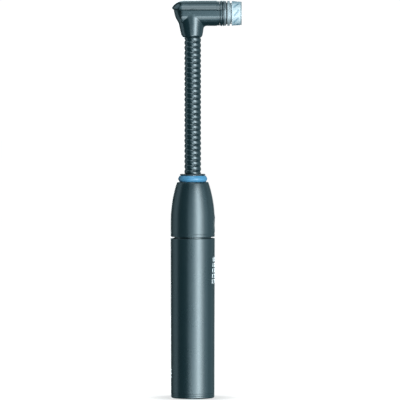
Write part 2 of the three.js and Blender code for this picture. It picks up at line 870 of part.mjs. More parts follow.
// Tip socket: a bright ring, a narrow throat, and a spigot that the tip pushes onto.
function tipSocket() {
  const bore = ROD_R + GAP;
  const edge = 0.25;
  const throatFront = TIP_BACK_X - 0.15;
  return turned(
    [
      [bore, SOCKET_BACK_X],
      [SOCKET_R - edge, SOCKET_BACK_X],
      [SOCKET_R, SOCKET_BACK_X + edge],
      [SOCKET_R, SOCKET_FRONT_X - edge],
      [SOCKET_R - edge, SOCKET_FRONT_X],
      [THROAT_R, SOCKET_FRONT_X],
      [THROAT_R, throatFront],
      [TIP_SPIGOT_R, throatFront],
      [TIP_SPIGOT_R, TIP_SPIGOT_FRONT_X],
      [bore, TIP_SPIGOT_FRONT_X],
    ],
    onBarrelFine,
  );
}

// Tip: a clear cup that slides over the spigot; its window stands through the rim ring.
function tipCap() {
  const edge = 0.3;
  const window = TIP_FRONT_X - THIN_GAP;
  return turned(
    [
      [TIP_BORE_R, TIP_BACK_X],
      [TIP_BACK_R - edge, TIP_BACK_X],
      [TIP_BACK_R, TIP_BACK_X + edge],
      [TIP_FRONT_R, RIM_BACK_X],
      [TIP_WINDOW_R, RIM_BACK_X],
      [TIP_WINDOW_R, window],
      [0, window],
      [0, TIP_FLOOR_X],
      [TIP_BORE_R, TIP_FLOOR_X],
    ],
    onBarrelFine,
  );
}

// Bevel ring: a light ring between collar and socket, narrower towards the front.
function bevelRing() {
  const back = COLLAR_FRONT_X + THIN_GAP;
  const front = COLLAR_FRONT_X + BEVEL_THICKNESS;
  return turned(
    [
      [STACK_BORE_R, back],
      [BEVEL_BACK_R, back],
      [BEVEL_BACK_R, back + BEVEL_THICKNESS / 3],
      [BEVEL_FRONT_R, front],
      [STACK_BORE_R, front],
    ],
    onBarrelFine,
  );
}

const collarBack = BARREL_FRONT_X + THIN_GAP;
const gasketBack = COLLAR_FRONT_X + BEVEL_THICKNESS + THIN_GAP;
const gasketFront = SOCKET_BACK_X - THIN_GAP;

add("elbow_housing", elbowHousing(), ANODISED);
add("led_lead", ledLead(), CABLE_GREY);
add("heat_sink", heatSink(), BARE_ALUMINIUM);
add(
  "led_board",
  ring(HEAD_PART_R, LED_BOARD_HOLE_R, LED_BOARD_BACK_X, LED_BOARD_FRONT_X, onBarrel),
  BOARD_GREEN,
);
add("led_emitter", ledEmitter(), EMITTER_YELLOW);
add("reflector", reflector(), BRIGHT);
add(
  "lens_collar",
  ring(BARREL_R, BARREL_BORE_R + GAP, collarBack, COLLAR_FRONT_X, onBarrelFine),
  ANODISED,
);
add("bevel_ring", bevelRing(), BRIGHT);
add("tip_gasket", ring(GASKET_R, STACK_BORE_R, gasketBack, gasketFront, onBarrelFine), RUBBER);
add("tip_socket", tipSocket(), BRIGHT);
add("light_rod", lightRod(), CLEAR);
add("tip_cap", tipCap(), CLEAR_BLUE);
add(
  "tip_rim",
  ring(TIP_FRONT_R, RIM_BORE_R, RIM_BACK_X + THIN_GAP, TIP_FRONT_X, onBarrelFine),
  BRIGHT,
);

export default light;
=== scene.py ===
# %% [markdown]
# # A dental curing light, surface by surface
#
# The light is a cordless hand tool: a battery tube, an upper shell that screws onto it, a blue ring, a
# wound gooseneck and a right-angle head with a clear tip. A CAD frame already holds every part, its size
# and its joints. This lesson gives each visible part a fine surface and a finish. Most parts of such a
# tool are turned on a lathe, so most surfaces here are outlines carried round an axis with numpy.

# %% The frame and the working units
import json
import math

import bpy
import numpy as np
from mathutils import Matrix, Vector

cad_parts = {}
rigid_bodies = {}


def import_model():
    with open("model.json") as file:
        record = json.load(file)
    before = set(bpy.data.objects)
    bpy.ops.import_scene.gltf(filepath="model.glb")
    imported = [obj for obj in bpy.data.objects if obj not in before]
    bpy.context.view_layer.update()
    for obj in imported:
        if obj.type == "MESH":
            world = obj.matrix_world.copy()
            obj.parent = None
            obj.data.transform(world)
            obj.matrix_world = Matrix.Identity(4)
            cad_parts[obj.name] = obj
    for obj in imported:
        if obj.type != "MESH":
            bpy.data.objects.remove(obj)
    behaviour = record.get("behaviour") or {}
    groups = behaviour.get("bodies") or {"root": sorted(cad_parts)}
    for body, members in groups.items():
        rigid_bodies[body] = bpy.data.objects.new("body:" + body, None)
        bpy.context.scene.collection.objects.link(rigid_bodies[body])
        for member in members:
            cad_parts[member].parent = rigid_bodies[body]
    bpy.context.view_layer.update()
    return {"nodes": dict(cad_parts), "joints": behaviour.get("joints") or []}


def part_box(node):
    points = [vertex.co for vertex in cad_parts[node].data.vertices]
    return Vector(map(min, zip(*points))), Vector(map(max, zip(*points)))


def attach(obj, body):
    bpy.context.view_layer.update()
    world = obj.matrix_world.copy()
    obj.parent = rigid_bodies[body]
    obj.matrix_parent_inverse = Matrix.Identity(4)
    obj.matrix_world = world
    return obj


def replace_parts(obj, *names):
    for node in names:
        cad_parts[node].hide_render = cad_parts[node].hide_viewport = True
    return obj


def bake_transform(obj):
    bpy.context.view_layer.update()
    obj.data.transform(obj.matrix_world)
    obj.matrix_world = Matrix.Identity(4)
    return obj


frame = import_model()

MM = 0.001  # the lesson works in millimetres, the frame in metres


def span(node):
    """Lowest and highest corner of a CAD node, in millimetres."""
    low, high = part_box(node)
    return np.array(low) / MM, np.array(high) / MM


BARREL_Z = float(np.mean([corner[2] for corner in span("lens_collar")]))  # height of the head's axis

# %% [markdown]
# ## Camera
#
# A long lens far away keeps the sides of the tube parallel, as in a catalogue picture. The camera stands
# level with the head, so the foot is seen a few degrees from above and the head dead level.

# %% Camera
VIEW_WIDTH = 225.7  # millimetres that the frame covers at the object
AIM = Vector((4.12, 0.0, 111.8)) * MM
CAMERA_DISTANCE = 3.0
CAMERA_HEIGHT = 0.218

camera_data = bpy.data.cameras.new("catalogue_camera")
camera_data.lens = camera_data.sensor_width * CAMERA_DISTANCE / (VIEW_WIDTH * MM)
camera_data.clip_end = 20
camera = bpy.data.objects.new("catalogue_camera", camera_data)
bpy.context.scene.collection.objects.link(camera)
camera.location = (AIM.x, -CAMERA_DISTANCE, CAMERA_HEIGHT)
camera.rotation_mode = "QUATERNION"
camera.rotation_quaternion = (AIM - camera.location).to_track_quat("-Z", "Y")
bpy.context.scene.camera = camera
print("lens in mm:", round(camera_data.lens, 1))

# %% [markdown]
# ## From a grid of points to a closed mesh
#
# Every surface below is a grid: one parameter runs along an outline and the other runs round an axis.
# The faces join neighbouring grid points. A grid can wrap in both directions, as on a ring, or close at
# its two ends with a fan of triangles, as on a cap. The sign of the volume says whether the faces point
# outwards, so a grid that comes out inside out is simply turned round.


# %% Grid to mesh
def grid_faces(rows, columns, wrap_rows):
    """Quads between neighbouring rows and columns of a grid; columns always wrap, rows only on request."""
    last = rows if wrap_rows else rows - 1
    i, j = np.meshgrid(np.arange(last), np.arange(columns), indexing="ij")
    a = i * columns + j
    b = i * columns + (j + 1) % columns
    c = ((i + 1) % rows) * columns + (j + 1) % columns
    d = ((i + 1) % rows) * columns + j
    return np.stack([a, b, c, d], axis=-1).reshape(-1, 4)


def fans(rows, columns, first, last):
    """Triangles from the two end rows to their pole points, whose numbers are first and last."""
    j = np.arange(columns)
    k = (j + 1) % columns
    start = np.stack([np.full(columns, first), k, j], axis=-1)
    top = (rows - 1) * columns
    end = np.stack([np.full(columns, last), top + j, top + k], axis=-1)
    return np.concatenate([start, end])


def volume(points, triangles):
    """Signed volume: a sixth of the sum of each triangle's triple product."""
    a, b, c = (points[triangles[:, n]] for n in range(3))
    return float(np.einsum("ij,ij->i", a, np.cross(b, c)).sum() / 6)


def build(name, grid, material, body, wrap_rows=False, stands_for=(), sharp_deg=40.0):
    """One piece from a grid of points (rows, columns, 3) in millimetres, on its CAD body."""
    rows, columns, _ = grid.shape
    points = grid.reshape(-1, 3)
    quads = grid_faces(rows, columns, wrap_rows)
    triangles = np.zeros((0, 3), int)
    if not wrap_rows:
        points = np.concatenate([points, grid[:1].mean(axis=1), grid[-1:].mean(axis=1)])
        triangles = fans(rows, columns, rows * columns, rows * columns + 1)
    halves = np.concatenate([quads[:, [0, 1, 2]], quads[:, [0, 2, 3]], triangles])
    if volume(points - points.mean(axis=0), halves) < 0:
        quads, triangles = quads[:, ::-1], triangles[:, ::-1]
    mesh = bpy.data.meshes.new(name)
    mesh.from_pydata((points * MM).tolist(), [], quads.tolist() + triangles.tolist())
    mesh.materials.append(material)
    mesh.shade_smooth()
    mesh.set_sharp_from_angle(angle=math.radians(sharp_deg))
    piece = bpy.data.objects.new(name, mesh)
    bpy.context.scene.collection.objects.link(piece)
    if isinstance(body, str):
        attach(piece, body)
    if stands_for:
        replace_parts(piece, *stands_for)
    return piece


# %% [markdown]
# ## Turned parts
#
# A lathe tool leaves flats, steps and broken edges. An outline is written as its few corners, each with
# the radius that breaks it. Each corner becomes a short curve between two points that lie that far along
# its sides, and two extra points just outside the curve hold the flats flat when the mesh is shaded.


# %% Outlines and turning
def rounded(corners, closed=True, steps=5, hold=0.06):
    """Corners (radius, height, break) to outline points. A corner C between A and B on its two sides
    becomes the curve (1-t)^2 A + 2t(1-t) C + t^2 B."""
    spots = np.array([c[:2] for c in corners], float)
    t = np.linspace(0, 1, steps)[:, None]
    outline = []
    for i, (_, _, size) in enumerate(corners):
        corner = spots[i]
        end = not closed and i in (0, len(corners) - 1)
        if end or size <= 0:
            outline.append(corner[None])
            continue
        before, after = spots[i - 1] - corner, spots[(i + 1) % len(spots)] - corner
        reach = [min(size, 0.45 * np.linalg.norm(side)) for side in (before, after)]
        ways = [side / np.linalg.norm(side) for side in (before, after)]
        a, b = (corner + way * far for way, far in zip(ways, reach))
        curve = (1 - t) ** 2 * a + 2 * t * (1 - t) * corner + t**2 * b
        held = [
            end_point + way * min(hold, 0.1 * far + 0.01)
            for end_point, way, far in zip((a, b), ways, reach)
        ]
        outline.append(np.concatenate([held[0][None], curve, held[1][None]]))
    return np.concatenate(outline)


def around_z(radius, height, angle):
    return np.stack([radius * np.cos(angle), radius * np.sin(angle), height], axis=-1)


def around_x(radius, along, angle):
    return np.stack([along, radius * np.cos(angle), BARREL_Z + radius * np.sin(angle)], axis=-1)


def turned(name, outline, material, body, about=around_z, columns=160, shape=None, **options):
    """The outline carried round an axis: radius and height become (r cos a, r sin a, h). shape may change
    the radius as a function of radius, height and angle."""
    outline = np.asarray(outline, float)
    angle = np.linspace(0, 2 * np.pi, columns, endpoint=False)[None, :]
    radius = np.repeat(outline[:, :1], columns, axis=1)
    height = np.repeat(outline[:, 1:2], columns, axis=1)
    angle = np.repeat(angle, len(outline), axis=0)
    if shape is not None:
        radius = shape(radius, height, angle)
    return build(name, about(radius, height, angle), material, body, **options)


def ring_outline(outer, inner, low, high, edge=0.15):
    """A plain ring's four corners, the outer two broken."""
    return rounded([(inner, low, 0.05), (outer, low, edge), (outer, high, edge), (inner, high, 0.05)])


# %% [markdown]
# ## Effects shared by several finishes
#
# Real metal and plastic are never one flat colour. Four small node groups hold what many finishes share:
# the grain that blasting leaves, the fine lines of turning, the paler metal on worn edges, and the faint
# greasy patches of handling. Each is built once and placed in a material with its own values.


# %% Node helpers
def new_group(title, inputs, outputs):
    """A shader node group with named inputs (name, socket type, value) and float outputs."""
    tree = bpy.data.node_groups.new(title, "ShaderNodeTree")
    for label, kind, value in inputs:
        socket = tree.interface.new_socket(label, in_out="INPUT", socket_type=kind)
        if value is not None:
            socket.default_value = value
    for label in outputs:
        tree.interface.new_socket(label, in_out="OUTPUT", socket_type="NodeSocketFloat")
    return tree, tree.nodes.new("NodeGroupInput").outputs, tree.nodes.new("NodeGroupOutput").inputs


def place(tree, kind, links=(), **settings):
    """A node of the given kind, with its settings, and its inputs linked or set by name or number."""
    made = tree.nodes.new(kind)
    for key, value in settings.items():
        setattr(made, key, value)
    for key, value in dict(links).items():
        if isinstance(value, bpy.types.NodeSocket):
            tree.links.new(value, made.inputs[key])
        else:
            made.inputs[key].default_value = value
    return made


def calculate(tree, operation, *values):
    """The output of a math node."""
    made = place(tree, "ShaderNodeMath", {n: v for n, v in enumerate(values)}, operation=operation)
    return made.outputs[0]


VECTOR, FLOAT = "NodeSocketVector", "NodeSocketFloat"

# %% [markdown]
# Blasting with fine glass beads leaves a dense even grain. It is noise in four sizes, the finer ones
# weaker, given as a value round a half so that it lightens as often as it darkens.

# %% Blasted grain
grain_group, given, out = new_group(
    "blasted_grain", [("Vector", VECTOR, None), ("Scale", FLOAT, 4000.0), ("Amount", FLOAT, 1.0)], ["Value"]
)
coarse = place(
    grain_group, "ShaderNodeTexNoise", {"Vector": given["Vector"], "Scale": given["Scale"], "Detail": 4.0}
)
centred = calculate(grain_group, "SUBTRACT", coarse.outputs["Fac"], 0.5)
scaled = calculate(grain_group, "MULTIPLY", centred, given["Amount"])
grain_group.links.new(calculate(grain_group, "ADD", scaled, 0.5), out["Value"])

# %% [markdown]
# A lathe tool leaves rings too fine to model. They could be waves, but real ones are uneven, so noise is
# squeezed along the turning axis until it is nearly constant round the part and quick along it.

# %% Turning lines
lines_group, given, out = new_group(
    "turning_lines",
    [("Vector", VECTOR, None), ("Squeeze", VECTOR, (40.0, 40.0, 9000.0)), ("Amount", FLOAT, 1.0)],
    ["Value"],
)
squeezed = place(
    lines_group, "ShaderNodeVectorMath", {0: given["Vector"], 1: given["Squeeze"]}, operation="MULTIPLY"
)
streaks = place(
    lines_group, "ShaderNodeTexNoise", {"Vector": squeezed.outputs[0], "Scale": 1.0, "Detail": 3.0}
)
centred = calculate(lines_group, "SUBTRACT", streaks.outputs["Fac"], 0.5)
scaled = calculate(lines_group, "MULTIPLY", centred, given["Amount"])
lines_group.links.new(calculate(lines_group, "ADD", scaled, 0.5), out["Value"])

# %% [markdown]
# A dark coating wears first where the part is handled hardest, on its ridges. Pointiness is above a half
# there. The mask starts at that value and noise breaks it into patches, because wear is never even.

# %% Worn edges
wear_group, given, out = new_group(
    "worn_edges", [("Vector", VECTOR, None), ("Scale", FLOAT, 900.0), ("Amount", FLOAT, 1.0)], ["Mask"]
)
ridge = place(wear_group, "ShaderNodeNewGeometry").outputs["Pointiness"]
patchy = place(
    wear_group, "ShaderNodeTexNoise", {"Vector": given["Vector"], "Scale": given["Scale"], "Detail": 5.0}
)
lifted = place(wear_group, "ShaderNodeMapRange", {"Value": ridge, "From Min": 0.53, "From Max": 0.62})
broken = place(
    wear_group, "ShaderNodeMapRange", {"Value": patchy.outputs["Fac"], "From Min": 0.35, "From Max": 0.65}
)
both = calculate(wear_group, "MULTIPLY", lifted.outputs[0], broken.outputs[0])
wear_group.links.new(calculate(wear_group, "MULTIPLY", both, given["Amount"]), out["Mask"])

# %% [markdown]
# Where fingers rest the surface is a little smoother, and elsewhere a little duller. Broad soft noise is
# enough, because only the roughness takes it.

# %% Handling
handling_group, given, out = new_group(
    "handling", [("Vector", VECTOR, None), ("Scale", FLOAT, 60.0), ("Amount", FLOAT, 1.0)], ["Value"]
)
broad = place(
    handling_group,
    "ShaderNodeTexNoise",
    {"Vector": given["Vector"], "Scale": given["Scale"], "Detail": 6.0, "Distortion": 0.6},
)
centred = calculate(handling_group, "SUBTRACT", broad.outputs["Fac"], 0.5)
handling_group.links.new(calculate(handling_group, "MULTIPLY", centred, given["Amount"]), out["Value"])
print("node groups:", sorted(g.name for g in bpy.data.node_groups))

# %% [markdown]
# ## Finishes
#
# One function makes every opaque finish. The colour moves slightly with the grain and turns to the worn
# colour on edges, the roughness moves with handling, and grain and lines together give the
# bump. Numbers that are the same all over, such as metallic or coat, stay on the shader's own sockets.


# %% Opaque finishes
def group_node(tree, group, values):
    return place(tree, "ShaderNodeGroup", values, node_tree=group)


def set_shader(shader, **values):
    """Sets plain sockets of the Principled shader; underscores in a name stand for spaces."""
    for key, value in values.items():
        shader.inputs[key.replace("_", " ")].default_value = value


def finish(
    title,
    colour,
    roughness,
    worn=None,
    wear=0.6,
    grain=(4000.0, 0.35),
    lines=None,
    handling=0.12,
    bump=0.02,
    **plain,
):
    """An opaque finish. grain is (scale, amount); lines is (squeeze, amount) or None; bump is in
    millimetres."""
    material = bpy.data.materials.new(title)
    material.use_nodes = True
    tree = material.node_tree
    shader = tree.nodes["Principled BSDF"]
    where = place(tree, "ShaderNodeTexCoord").outputs["Object"]
    grain_values = {"Vector": where, "Scale": grain[0], "Amount": grain[1]}
    speck = group_node(tree, grain_group, grain_values).outputs[0]
    height = speck
    if lines:
        streak = group_node(tree, lines_group, {"Vector": where, "Squeeze": lines[0], "Amount": lines[1]})
        height = calculate(tree, "ADD", speck, streak.outputs[0])
    touched = group_node(tree, handling_group, {"Vector": where, "Amount": handling}).outputs[0]
    shade = place(tree, "ShaderNodeMapRange", {"Value": speck, "To Min": 0.8, "To Max": 1.2}).outputs[0]
    tinted = place(
        tree, "ShaderNodeVectorMath", {0: (*colour,), "Scale": shade}, operation="SCALE"
    ).outputs[0]
    edges = group_node(tree, wear_group, {"Vector": where, "Amount": wear}).outputs[0]
    paint = place(tree, "ShaderNodeMix", data_type="RGBA")
    tree.links.new(edges, paint.inputs["Factor"])
    tree.links.new(tinted, paint.inputs[6])
    paint.inputs[7].default_value = (*(worn or [min(1.0, 1.6 * c + 0.02) for c in colour]), 1.0)
    tree.links.new(paint.outputs[2], shader.inputs["Base Color"])
    dull = calculate(tree, "ADD", touched, roughness)
    tree.links.new(calculate(tree, "MAXIMUM", dull, 0.03), shader.inputs["Roughness"])
    relief = place(tree, "ShaderNodeBump", {"Height": height, "Strength": 1.0, "Distance": bump * MM})
    tree.links.new(relief.outputs[0], shader.inputs["Normal"])
    set_shader(shader, **plain)
    return material


UP_LINES = (40.0, 40.0, 7000.0)  # turning lines on parts whose axis is Z
ALONG_LINES = (7000.0, 40.0, 40.0)  # and on parts whose axis is X

DARK_TEAL = (0.004, 0.012, 0.015)
SHEEN = (0.9, 0.98, 1.0, 1.0)  # the oxide layer tints what it reflects

casing = finish(
    "casing_anodised",
    DARK_TEAL,
    0.28,
    worn=(0.10, 0.13, 0.14),
    grain=(6000.0, 0.5),
    lines=(UP_LINES, 0.2),
    bump=0.0015,
    Specular_IOR_Level=0.9,
    Specular_Tint=SHEEN,
)
head_casing = finish(
    "head_anodised",
    DARK_TEAL,
    0.19,
    worn=(0.10, 0.13, 0.14),
    grain=(6000.0, 0.5),
    bump=0.0006,
    Specular_IOR_Level=0.9,
    Specular_Tint=SHEEN,
)
neck_finish = finish(
    "neck_satin",
    DARK_TEAL,
    0.20,
    worn=(0.03, 0.04, 0.045),
    wear=0.3,
    grain=(3000.0, 0.4),
    bump=0.001,
    Specular_IOR_Level=0.9,
    Specular_Tint=SHEEN,
)
nut_finish = finish(
    "nut_matt", DARK_TEAL, 0.5, worn=(0.03, 0.04, 0.045), grain=(3000.0, 0.4), bump=0.001
)
blue = finish(
    "ring_blue", (0.055, 0.18, 0.30), 0.33, worn=(0.16, 0.34, 0.48), grain=(2500.0, 0.3), bump=0.006
)
bright = finish(
    "bright_satin",
    (0.27, 0.30, 0.31),
    0.4,
    worn=(0.7, 0.7, 0.7),
    grain=(5000.0, 0.2),
    lines=(ALONG_LINES, 0.5),
    bump=0.002,
    Metallic=0.45,
)
dull_bright = finish(
    "bevel_satin",
    (0.14, 0.165, 0.175),
    0.42,
    worn=(0.4, 0.42, 0.43),
    grain=(5000.0, 0.2),
    lines=(ALONG_LINES, 0.5),
    bump=0.002,
    Metallic=0.45,
)
bare = finish(
    "bare_aluminium", (0.60, 0.62, 0.63), 0.36, lines=(UP_LINES, 0.8), bump=0.006, Metallic=1.0
)
rubber = finish("seal_rubber", (0.018, 0.019, 0.02), 0.62, grain=(2600.0, 0.8), bump=0.02)
soft_grey = finish(
    "button_soft_touch", (0.05, 0.06, 0.062), 0.5, worn=(0.1, 0.11, 0.11), grain=(5200.0, 1.0), bump=0.02
)
brass = finish("contact_brass", (0.75, 0.52, 0.2), 0.25, lines=(UP_LINES, 0.5), bump=0.004, Metallic=1.0)
spring_wire = finish("spring_wire", (0.5, 0.52, 0.54), 0.28, grain=(3500.0, 0.5), bump=0.006, Metallic=1.0)
cell_wrap = finish("cell_wrap", (0.03, 0.2, 0.1), 0.32, grain=(1800.0, 0.3), bump=0.01)
sleeve_plastic = finish("sleeve_plastic", (0.68, 0.65, 0.57), 0.5, grain=(2400.0, 0.5), bump=0.01)
board = finish("board_green", (0.012, 0.1, 0.05), 0.4, grain=(1500.0, 0.8), bump=0.015)
component = finish("component_black", (0.012, 0.012, 0.013), 0.45, grain=(4200.0, 1.0), bump=0.02)
emitter = finish("emitter_yellow", (0.8, 0.66, 0.18), 0.2, grain=(2000.0, 0.4), bump=0.004)
cable_skin = finish("cable_skin", (0.09, 0.1, 0.105), 0.5, grain=(2200.0, 0.6), bump=0.01)
# The print's own colour is light; its faint emission is painted light, a glow that no lamp gives.
glowing_print_ink = finish(
    "glowing_print_ink",
    (0.90, 0.92, 0.93),
    0.45,
    grain=(5000.0, 0.3),
    bump=0.001,
    Emission_Color=(0.9, 0.96, 1.0, 1.0),
    Emission_Strength=0.35,
)


# %% [markdown]
# The tip is clear blue plastic and the light rod is glass. Both finishes darken towards their outline by the
# facing angle, which is painted shade for the dark surroundings seen through a clear edge. The flutes
# moulded into the tip are thicker lines of the same plastic, so a mask with the flutes' own formula darkens
# them too.

# %% Clear finishes
FLUTES, FLUTE_TWIST = 9, 0.16  # how many, and how many radians they turn for each millimetre forwards
flute_group, given, out = new_group(
    "slanting_flutes",
    [("Vector", VECTOR, None), ("Axis height", FLOAT, 0.0), ("Start", FLOAT, 0.0)],
    ["Mask"],
)
part = place(flute_group, "ShaderNodeSeparateXYZ", {0: given["Vector"]}).outputs
lift = calculate(flute_group, "SUBTRACT", part["Z"], given["Axis height"])
round_angle = calculate(flute_group, "ARCTAN2", lift, part["Y"])
forward = calculate(flute_group, "SUBTRACT", part["X"], given["Start"])
slant = calculate(flute_group, "MULTIPLY", forward, FLUTE_TWIST / MM)
phase = calculate(flute_group, "MULTIPLY", calculate(flute_group, "ADD", round_angle, slant), float(FLUTES))
wave = calculate(flute_group, "MULTIPLY_ADD", calculate(flute_group, "COSINE", phase), 0.5, 0.5)
crest = calculate(flute_group, "POWER", wave, 3.0)
FLUTE_FROM, FLUTE_TO, FLUTE_FADE = 0.7, 3.5, 0.6  # where the flutes start and end on the tip, and their fade
for begin, end in ((FLUTE_FROM, FLUTE_FROM + FLUTE_FADE), (FLUTE_TO + FLUTE_FADE, FLUTE_TO)):
    fade = place(
        flute_group,
        "ShaderNodeMapRange",
        {"Value": forward, "From Min": begin * MM, "From Max": end * MM},
        interpolation_type="SMOOTHSTEP",
    )
    crest = calculate(flute_group, "MULTIPLY", crest, fade.outputs[0])
flute_group.links.new(crest, out["Mask"])


def clear(title, colour, deep_and_shade_colour, roughness, transmission, ripple, ior, fluted=False):
    """A clear moulded finish: colour in the middle, painted shade towards the outline, deep in the flutes.
    """
    material = bpy.data.materials.new(title)
    material.use_nodes = True
    tree = material.node_tree
    shader = tree.nodes["Principled BSDF"]
    where = place(tree, "ShaderNodeTexCoord").outputs["Object"]
    flow = group_node(tree, handling_group, {"Vector": where, "Scale": 240.0, "Amount": 0.3}).outputs[0]
    # Facing darkens the colour towards the outline: painted shade for dark surroundings seen at a clear
    # edge.
    edge = place(tree, "ShaderNodeLayerWeight", {"Blend": 0.35}).outputs["Facing"]
    depth_and_painted_shade = calculate(tree, "ADD", edge, flow)
    if fluted:
        axis = {"Vector": where, "Axis height": BARREL_Z * MM, "Start": span("tip_cap")[0][0] * MM}
        mask = group_node(tree, flute_group, axis).outputs[0]
        depth_and_painted_shade = calculate(tree, "MULTIPLY_ADD", mask, 0.55, depth_and_painted_shade)
    tint = place(tree, "ShaderNodeMix", {"Factor": depth_and_painted_shade}, data_type="RGBA")
    tint.inputs[6].default_value = (*colour, 1)
    tint.inputs[7].default_value = (*deep_and_shade_colour, 1)
    tree.links.new(tint.outputs[2], shader.inputs["Base Color"])
    speck = group_node(tree, grain_group, {"Vector": where, "Scale": 1200.0, "Amount": 0.5}).outputs[0]
    relief = place(tree, "ShaderNodeBump", {"Height": speck, "Strength": 1.0, "Distance": ripple * MM})
    tree.links.new(relief.outputs[0], shader.inputs["Normal"])
    set_shader(shader, Roughness=roughness, Transmission_Weight=transmission, IOR=ior)
    return material


clear_blue = clear(
    "tip_clear_blue", (0.46, 0.51, 0.53), (0.03, 0.14, 0.20), 0.25, 0.15, 0.001, 1.49, fluted=True
)
rod_glass = clear("rod_glass", (0.95, 0.98, 1.0), (0.8, 0.86, 0.88), 0.03, 1.0, 0.001, 1.5)
print("materials:", len(bpy.data.materials))

# %% [markdown]
# ## Battery tube and base cap
#
# The tube is a plain turned cylinder with the slightest draft. What makes it read as metal is its broken
# lips, so both ends have them. The base cap closes the foot, a hair's gap below the tube, with a fine
# decorative line turned into its side.

# %% Handle
CAP_EDGE, TUBE_EDGE, SEAM_EDGE = 0.5, 0.35, 0.07
SEAM = 0.06  # the cap is screwed up to a hair below the tube
LINE_WIDTH, LINE_DEPTH = 0.3, 0.07
LINE_UP = 1.55  # the line's height above the edge of the part that carries it


def fine_line(radius, height):
    """Corners of a small turned line in a wall, going up."""
    half = LINE_WIDTH / 2
    return [
        (radius, height - half, 0.04),
        (radius - LINE_DEPTH, height, 0.03),
        (radius, height + half, 0.04),
    ]


cap_low, cap_high = span("base_cap")
cap_r = cap_high[0]
tube_low, tube_high = span("battery_tube")
tube_r = tube_high[0]
tube_foot_r = cap_r + 0.02
CAP_RIM_Z = tube_low[2] - SEAM
CAP_SPIGOT_R = 9.9
turned(
    "base_cap_turned",
    rounded(
        [
            (0, 0, 0),
            (cap_r - CAP_EDGE, 0, 0.1),
            (cap_r, CAP_EDGE, 0.2),
            *fine_line(cap_r, LINE_UP),
            (cap_r, CAP_RIM_Z, SEAM_EDGE),
            (CAP_SPIGOT_R, CAP_RIM_Z, 0.05),
            (CAP_SPIGOT_R, cap_high[2], 0.3),
            (0, cap_high[2], 0),
        ],
        closed=False,
    )[1:-1],
    casing,
    "handle",
    stands_for=["base_cap"],
)

MOUTH_R, BORE_R, MOUTH_Z = 11.3, 10.3, 79.8
turned(
    "battery_tube_turned",
    rounded(
        [
            (BORE_R, tube_low[2], 0.05),
            (tube_foot_r, tube_low[2], SEAM_EDGE),
            (tube_r, tube_high[2], TUBE_EDGE),
            (MOUTH_R, tube_high[2], 0.2),
            (MOUTH_R, MOUTH_Z, 0.05),
            (BORE_R, MOUTH_Z, 0.05),
        ]
    ),
    casing,
    "handle",
    wrap_rows=True,
    stands_for=["battery_tube"],
)
print("tube radius and height in mm:", tube_r, tube_high[2])

# %% [markdown]
# ## Seal and threaded spigot
#
# These show only in the open seam and when the light is unscrewed. The seal is a ring of round section.
# The thread is one helical groove: its depth depends on where a point lies along the pitch, counted with
# the height and with the angle round the axis.

# %% Seal and spigot
THREAD_PITCH, THREAD_DEPTH = 1.25, 0.45
SPIGOT_FACETS = 120

seal_low, seal_high = span("thread_seal")
seal_wire = (seal_high[2] - seal_low[2]) / 2 + 0.05
seal_r = seal_high[0] - seal_wire
turn = np.linspace(0, 2 * np.pi, 20, endpoint=False)
turned(
    "thread_seal_moulded",
    np.stack(
        [
            seal_r + seal_wire * np.cos(turn),
            seal_low[2] + seal_wire - 0.05 + seal_wire * np.sin(turn),
        ],
        axis=-1,
    ),
    rubber,
    "seal",
    wrap_rows=True,
    stands_for=["thread_seal"],
)

spigot_low, spigot_high = span("thread_spigot")
spigot_r = spigot_high[0]
shell_low, shell_high = span("upper_shell")
THREAD_TOP = seal_low[2] - 0.6
NECK_R_SPIGOT, SPIGOT_BORE_R, SEAL_GROOVE_R = 10.4, 8.6, 9.65


def threaded(radius, height, angle):
    """Radius less a V groove: the groove's depth is a triangle wave of (height/pitch + angle/turn)."""
    phase = np.mod(height / THREAD_PITCH - angle / (2 * np.pi), 1.0)
    groove = 1 - np.abs(2 * phase - 1)
    fade = np.clip((THREAD_TOP - 0.3 - height) / 0.6, 0, 1) * np.clip((height - spigot_low[2]) / 0.6, 0, 1)
    on_crest = radius > spigot_r - 0.01
    return np.where(on_crest, radius - THREAD_DEPTH * groove * fade, radius)


thread_rows = np.linspace(spigot_low[2], THREAD_TOP, 70)
turned(
    "thread_spigot_cut",
    np.concatenate(
        [
            [[SPIGOT_BORE_R, spigot_low[2]]],
            np.stack([np.full(len(thread_rows), spigot_r), thread_rows], axis=-1),
            rounded(
                [
                    (SEAL_GROOVE_R, THREAD_TOP, 0.05),
                    (SEAL_GROOVE_R, seal_high[2] + 0.3, 0.05),
                    (NECK_R_SPIGOT, seal_high[2] + 0.3, 0.1),
                    (NECK_R_SPIGOT, shell_low[2] + 0.35, 0.05),
                    (SPIGOT_BORE_R, shell_low[2] + 0.35, 0.05),
                ]
            ),
        ]
    ),
    casing,
    "upper",
    columns=SPIGOT_FACETS,
    shape=threaded,
    wrap_rows=True,
    stands_for=["thread_spigot"],
)

# %% [markdown]
# ## Upper shell
#
# The shell is straight at its foot and then an ogive: an arc of large radius, tangent to the straight
# part. The button sits in a shallow pocket. Instead of cutting a hole, the surface itself is pushed in
# where a point lies inside the pocket's slot shape, and the grid is closer there so that the wall of the
# pocket is crisp.

